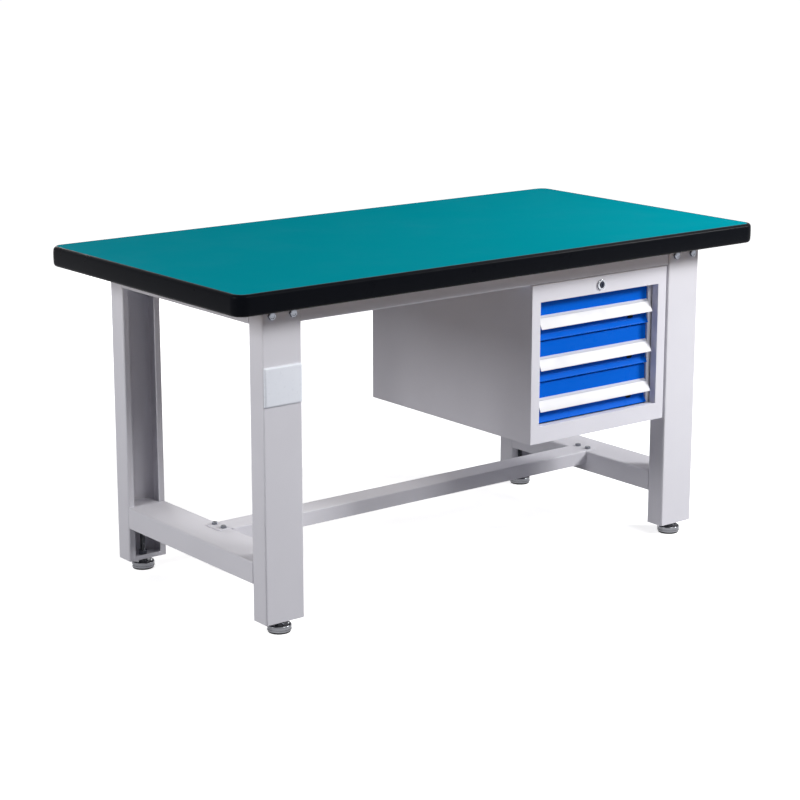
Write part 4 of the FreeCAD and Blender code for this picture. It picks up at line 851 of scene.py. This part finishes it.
EDGE_WIDTH = 0.7 * MM
FINE_EDGE_WIDTH = 0.25 * MM
FLAT_ANGLE = math.radians(0.3)
WELD_REACH = 0.01 * MM
BENT_NODES = ("apron_front", "apron_rear")
FINE_NODES = ("lock_plug", "lock_fixing_nut", "lock_drive_rod", "lock_crank", "lock_bar", "lock_guides")


def finish_nodes():
    """A finish for every node, with doubled points and flat triangles joined, and soft edges on most."""
    for part in frame["record"]["subparts"]:
        item = nodes[part["node"]]
        item.data.materials.clear()
        item.data.materials.append(FINISHES[part["material_slot"]])
        weld = item.modifiers.new("weld", "WELD")
        weld.merge_threshold = WELD_REACH
        merge = item.modifiers.new("merge", "DECIMATE")
        merge.decimate_type = "DISSOLVE"
        merge.angle_limit = FLAT_ANGLE
        if part["node"] not in BENT_NODES:
            soften(item, FINE_EDGE_WIDTH if part["node"] in FINE_NODES else EDGE_WIDTH)


# Studio

LAMPS = {
    "key": {"place": (3.1, -2.6, 2.2), "target": (0.3, 0, 0.45), "size": 0.8, "power": 134},
    "fill": {"place": (-3.4, 0, 1.8), "target": (-0.3, 0, 0.4), "size": 1.3, "power": 57},
    "front": {"place": (0.6, -3.2, 3.0), "target": (0, 0, 0.45), "size": 1.4, "power": 55},
    "ceiling": {"place": (0.7, -0.5, 3.6), "target": (0, -0.1, 0.77), "size": 1.4, "power": 3},
    "back": {"place": (0.3, 3.8, 1.0), "target": (0, 0, 0.45), "size": 1.4, "power": 60},
    "overhead": {"place": (1.2, -0.6, 1.9), "target": (0.6, -0.2, 0.77), "size": 0.8, "power": 8.5},
}
WHITE = (1, 1, 1, 1)
AMBIENT = 0.07
AMBIENT_TINT = (0.86, 0.84, 1.0, 1.0)
FLOOR_HALF = 40
FLOOR_ROUGHNESS = 0.9
FLOOR_GLOW = (0.7, 0.97)
FLOOR_RANGE = (1.2, 4.5)
FLOOR_SEEN = (0.8, 0.8, 0.8, 1)
FLOOR_BOUNCE = (0.28, 0.28, 0.30, 1)


def lamp(name, place, target, size, power):
    """A square soft lamp that faces a target."""
    data = bpy.data.lights.new(name, "AREA")
    data.size = size
    data.energy = power
    item = bpy.data.objects.new(name, data)
    item.location = place
    item.rotation_euler = (Vector(target) - Vector(place)).to_track_quat("-Z", "Y").to_euler()
    scene.collection.objects.link(item)


def seen_directly(tree):
    """One for rays from the camera, a mirror or through glass, and nought for light that is scattered."""
    rays = tree.nodes.new("ShaderNodeLightPath")
    seen = rays.outputs["Is Camera Ray"]
    for other in ("Is Glossy Ray", "Is Transmission Ray"):
        either = tree.nodes.new("ShaderNodeMath")
        either.operation = "MAXIMUM"
        tree.links.new(seen, either.inputs[0])
        tree.links.new(rays.outputs[other], either.inputs[1])
        seen = either.outputs[0]
    return seen


def surroundings():
    """Even soft light from all sides, seen as white."""
    world = bpy.data.worlds.new("studio")
    scene.world = world
    world.use_nodes = True
    tree = world.node_tree
    soft = tree.nodes["Background"]
    soft.inputs["Color"].default_value = AMBIENT_TINT
    soft.inputs["Strength"].default_value = AMBIENT
    white = tree.nodes.new("ShaderNodeBackground")
    white.inputs["Color"].default_value = WHITE
    white.inputs["Strength"].default_value = 1.0
    mix = tree.nodes.new("ShaderNodeMixShader")
    tree.links.new(seen_directly(tree), mix.inputs[0])
    tree.links.new(soft.outputs[0], mix.inputs[1])
    tree.links.new(white.outputs[0], mix.inputs[2])
    tree.links.new(mix.outputs[0], tree.nodes["World Output"].inputs[0])


def floor():
    """A plain floor, white far off, that keeps the bench's shadow."""
    made = bpy.data.materials.new("floor")
    made.use_nodes = True
    tree = made.node_tree
    shader = tree.nodes["Principled BSDF"]
    shader.inputs["Roughness"].default_value = FLOOR_ROUGHNESS
    shader.inputs["Specular IOR Level"].default_value = 0.0
    shader.inputs["Emission Color"].default_value = WHITE
    seen = seen_directly(tree)
    tone = tree.nodes.new("ShaderNodeMix")
    tone.data_type = "RGBA"
    tone.inputs[MIX_FIRST].default_value = FLOOR_BOUNCE
    tone.inputs[MIX_SECOND].default_value = FLOOR_SEEN
    tree.links.new(seen, tone.inputs[0])
    tree.links.new(tone.outputs[MIX_RESULT], shader.inputs["Base Color"])
    reach = tree.nodes.new("ShaderNodeVectorMath")
    reach.operation = "LENGTH"
    tree.links.new(tree.nodes.new("ShaderNodeTexCoord").outputs["Object"], reach.inputs[0])
    ranged = tree.nodes.new("ShaderNodeMapRange")
    ranged.inputs["From Min"].default_value, ranged.inputs["From Max"].default_value = FLOOR_RANGE
    ranged.inputs["To Min"].default_value, ranged.inputs["To Max"].default_value = FLOOR_GLOW
    tree.links.new(reach.outputs["Value"], ranged.inputs["Value"])
    glow = tree.nodes.new("ShaderNodeMath")
    glow.operation = "MULTIPLY"
    tree.links.new(seen, glow.inputs[0])
    tree.links.new(ranged.outputs["Result"], glow.inputs[1])
    tree.links.new(glow.outputs[0], shader.inputs["Emission Strength"])
    mesh = bpy.data.meshes.new("floor")
    half = FLOOR_HALF
    corners = [(-half, -half, 0), (half, -half, 0), (half, half, 0), (-half, half, 0)]
    mesh.from_pydata(corners, [], [(0, 1, 2, 3)])
    mesh.materials.append(made)
    item = bpy.data.objects.new("floor", mesh)
    scene.collection.objects.link(item)


def main():
    """Set out the camera, the bench and the studio."""
    make_camera()
    finish_nodes()
    edge_band()
    blank_plate()
    apron_bolts()
    upright_bolts("stretcher_bolts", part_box("lower_stretcher")[1].z, 1)
    upright_bolts("hanging_bolts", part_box("cabinet_top")[0].z, -1)
    frame_nuts()
    for corner in CORNERS:
        levelling_foot(corner)
        foot_pad(corner)
    for drawer in DRAWERS:
        drawer_handle(drawer)
        drawer_rim(drawer)
        catch_button(drawer)
    lock_housing()
    for name, values in LAMPS.items():
        lamp(name, **values)
    surroundings()
    floor()


main()
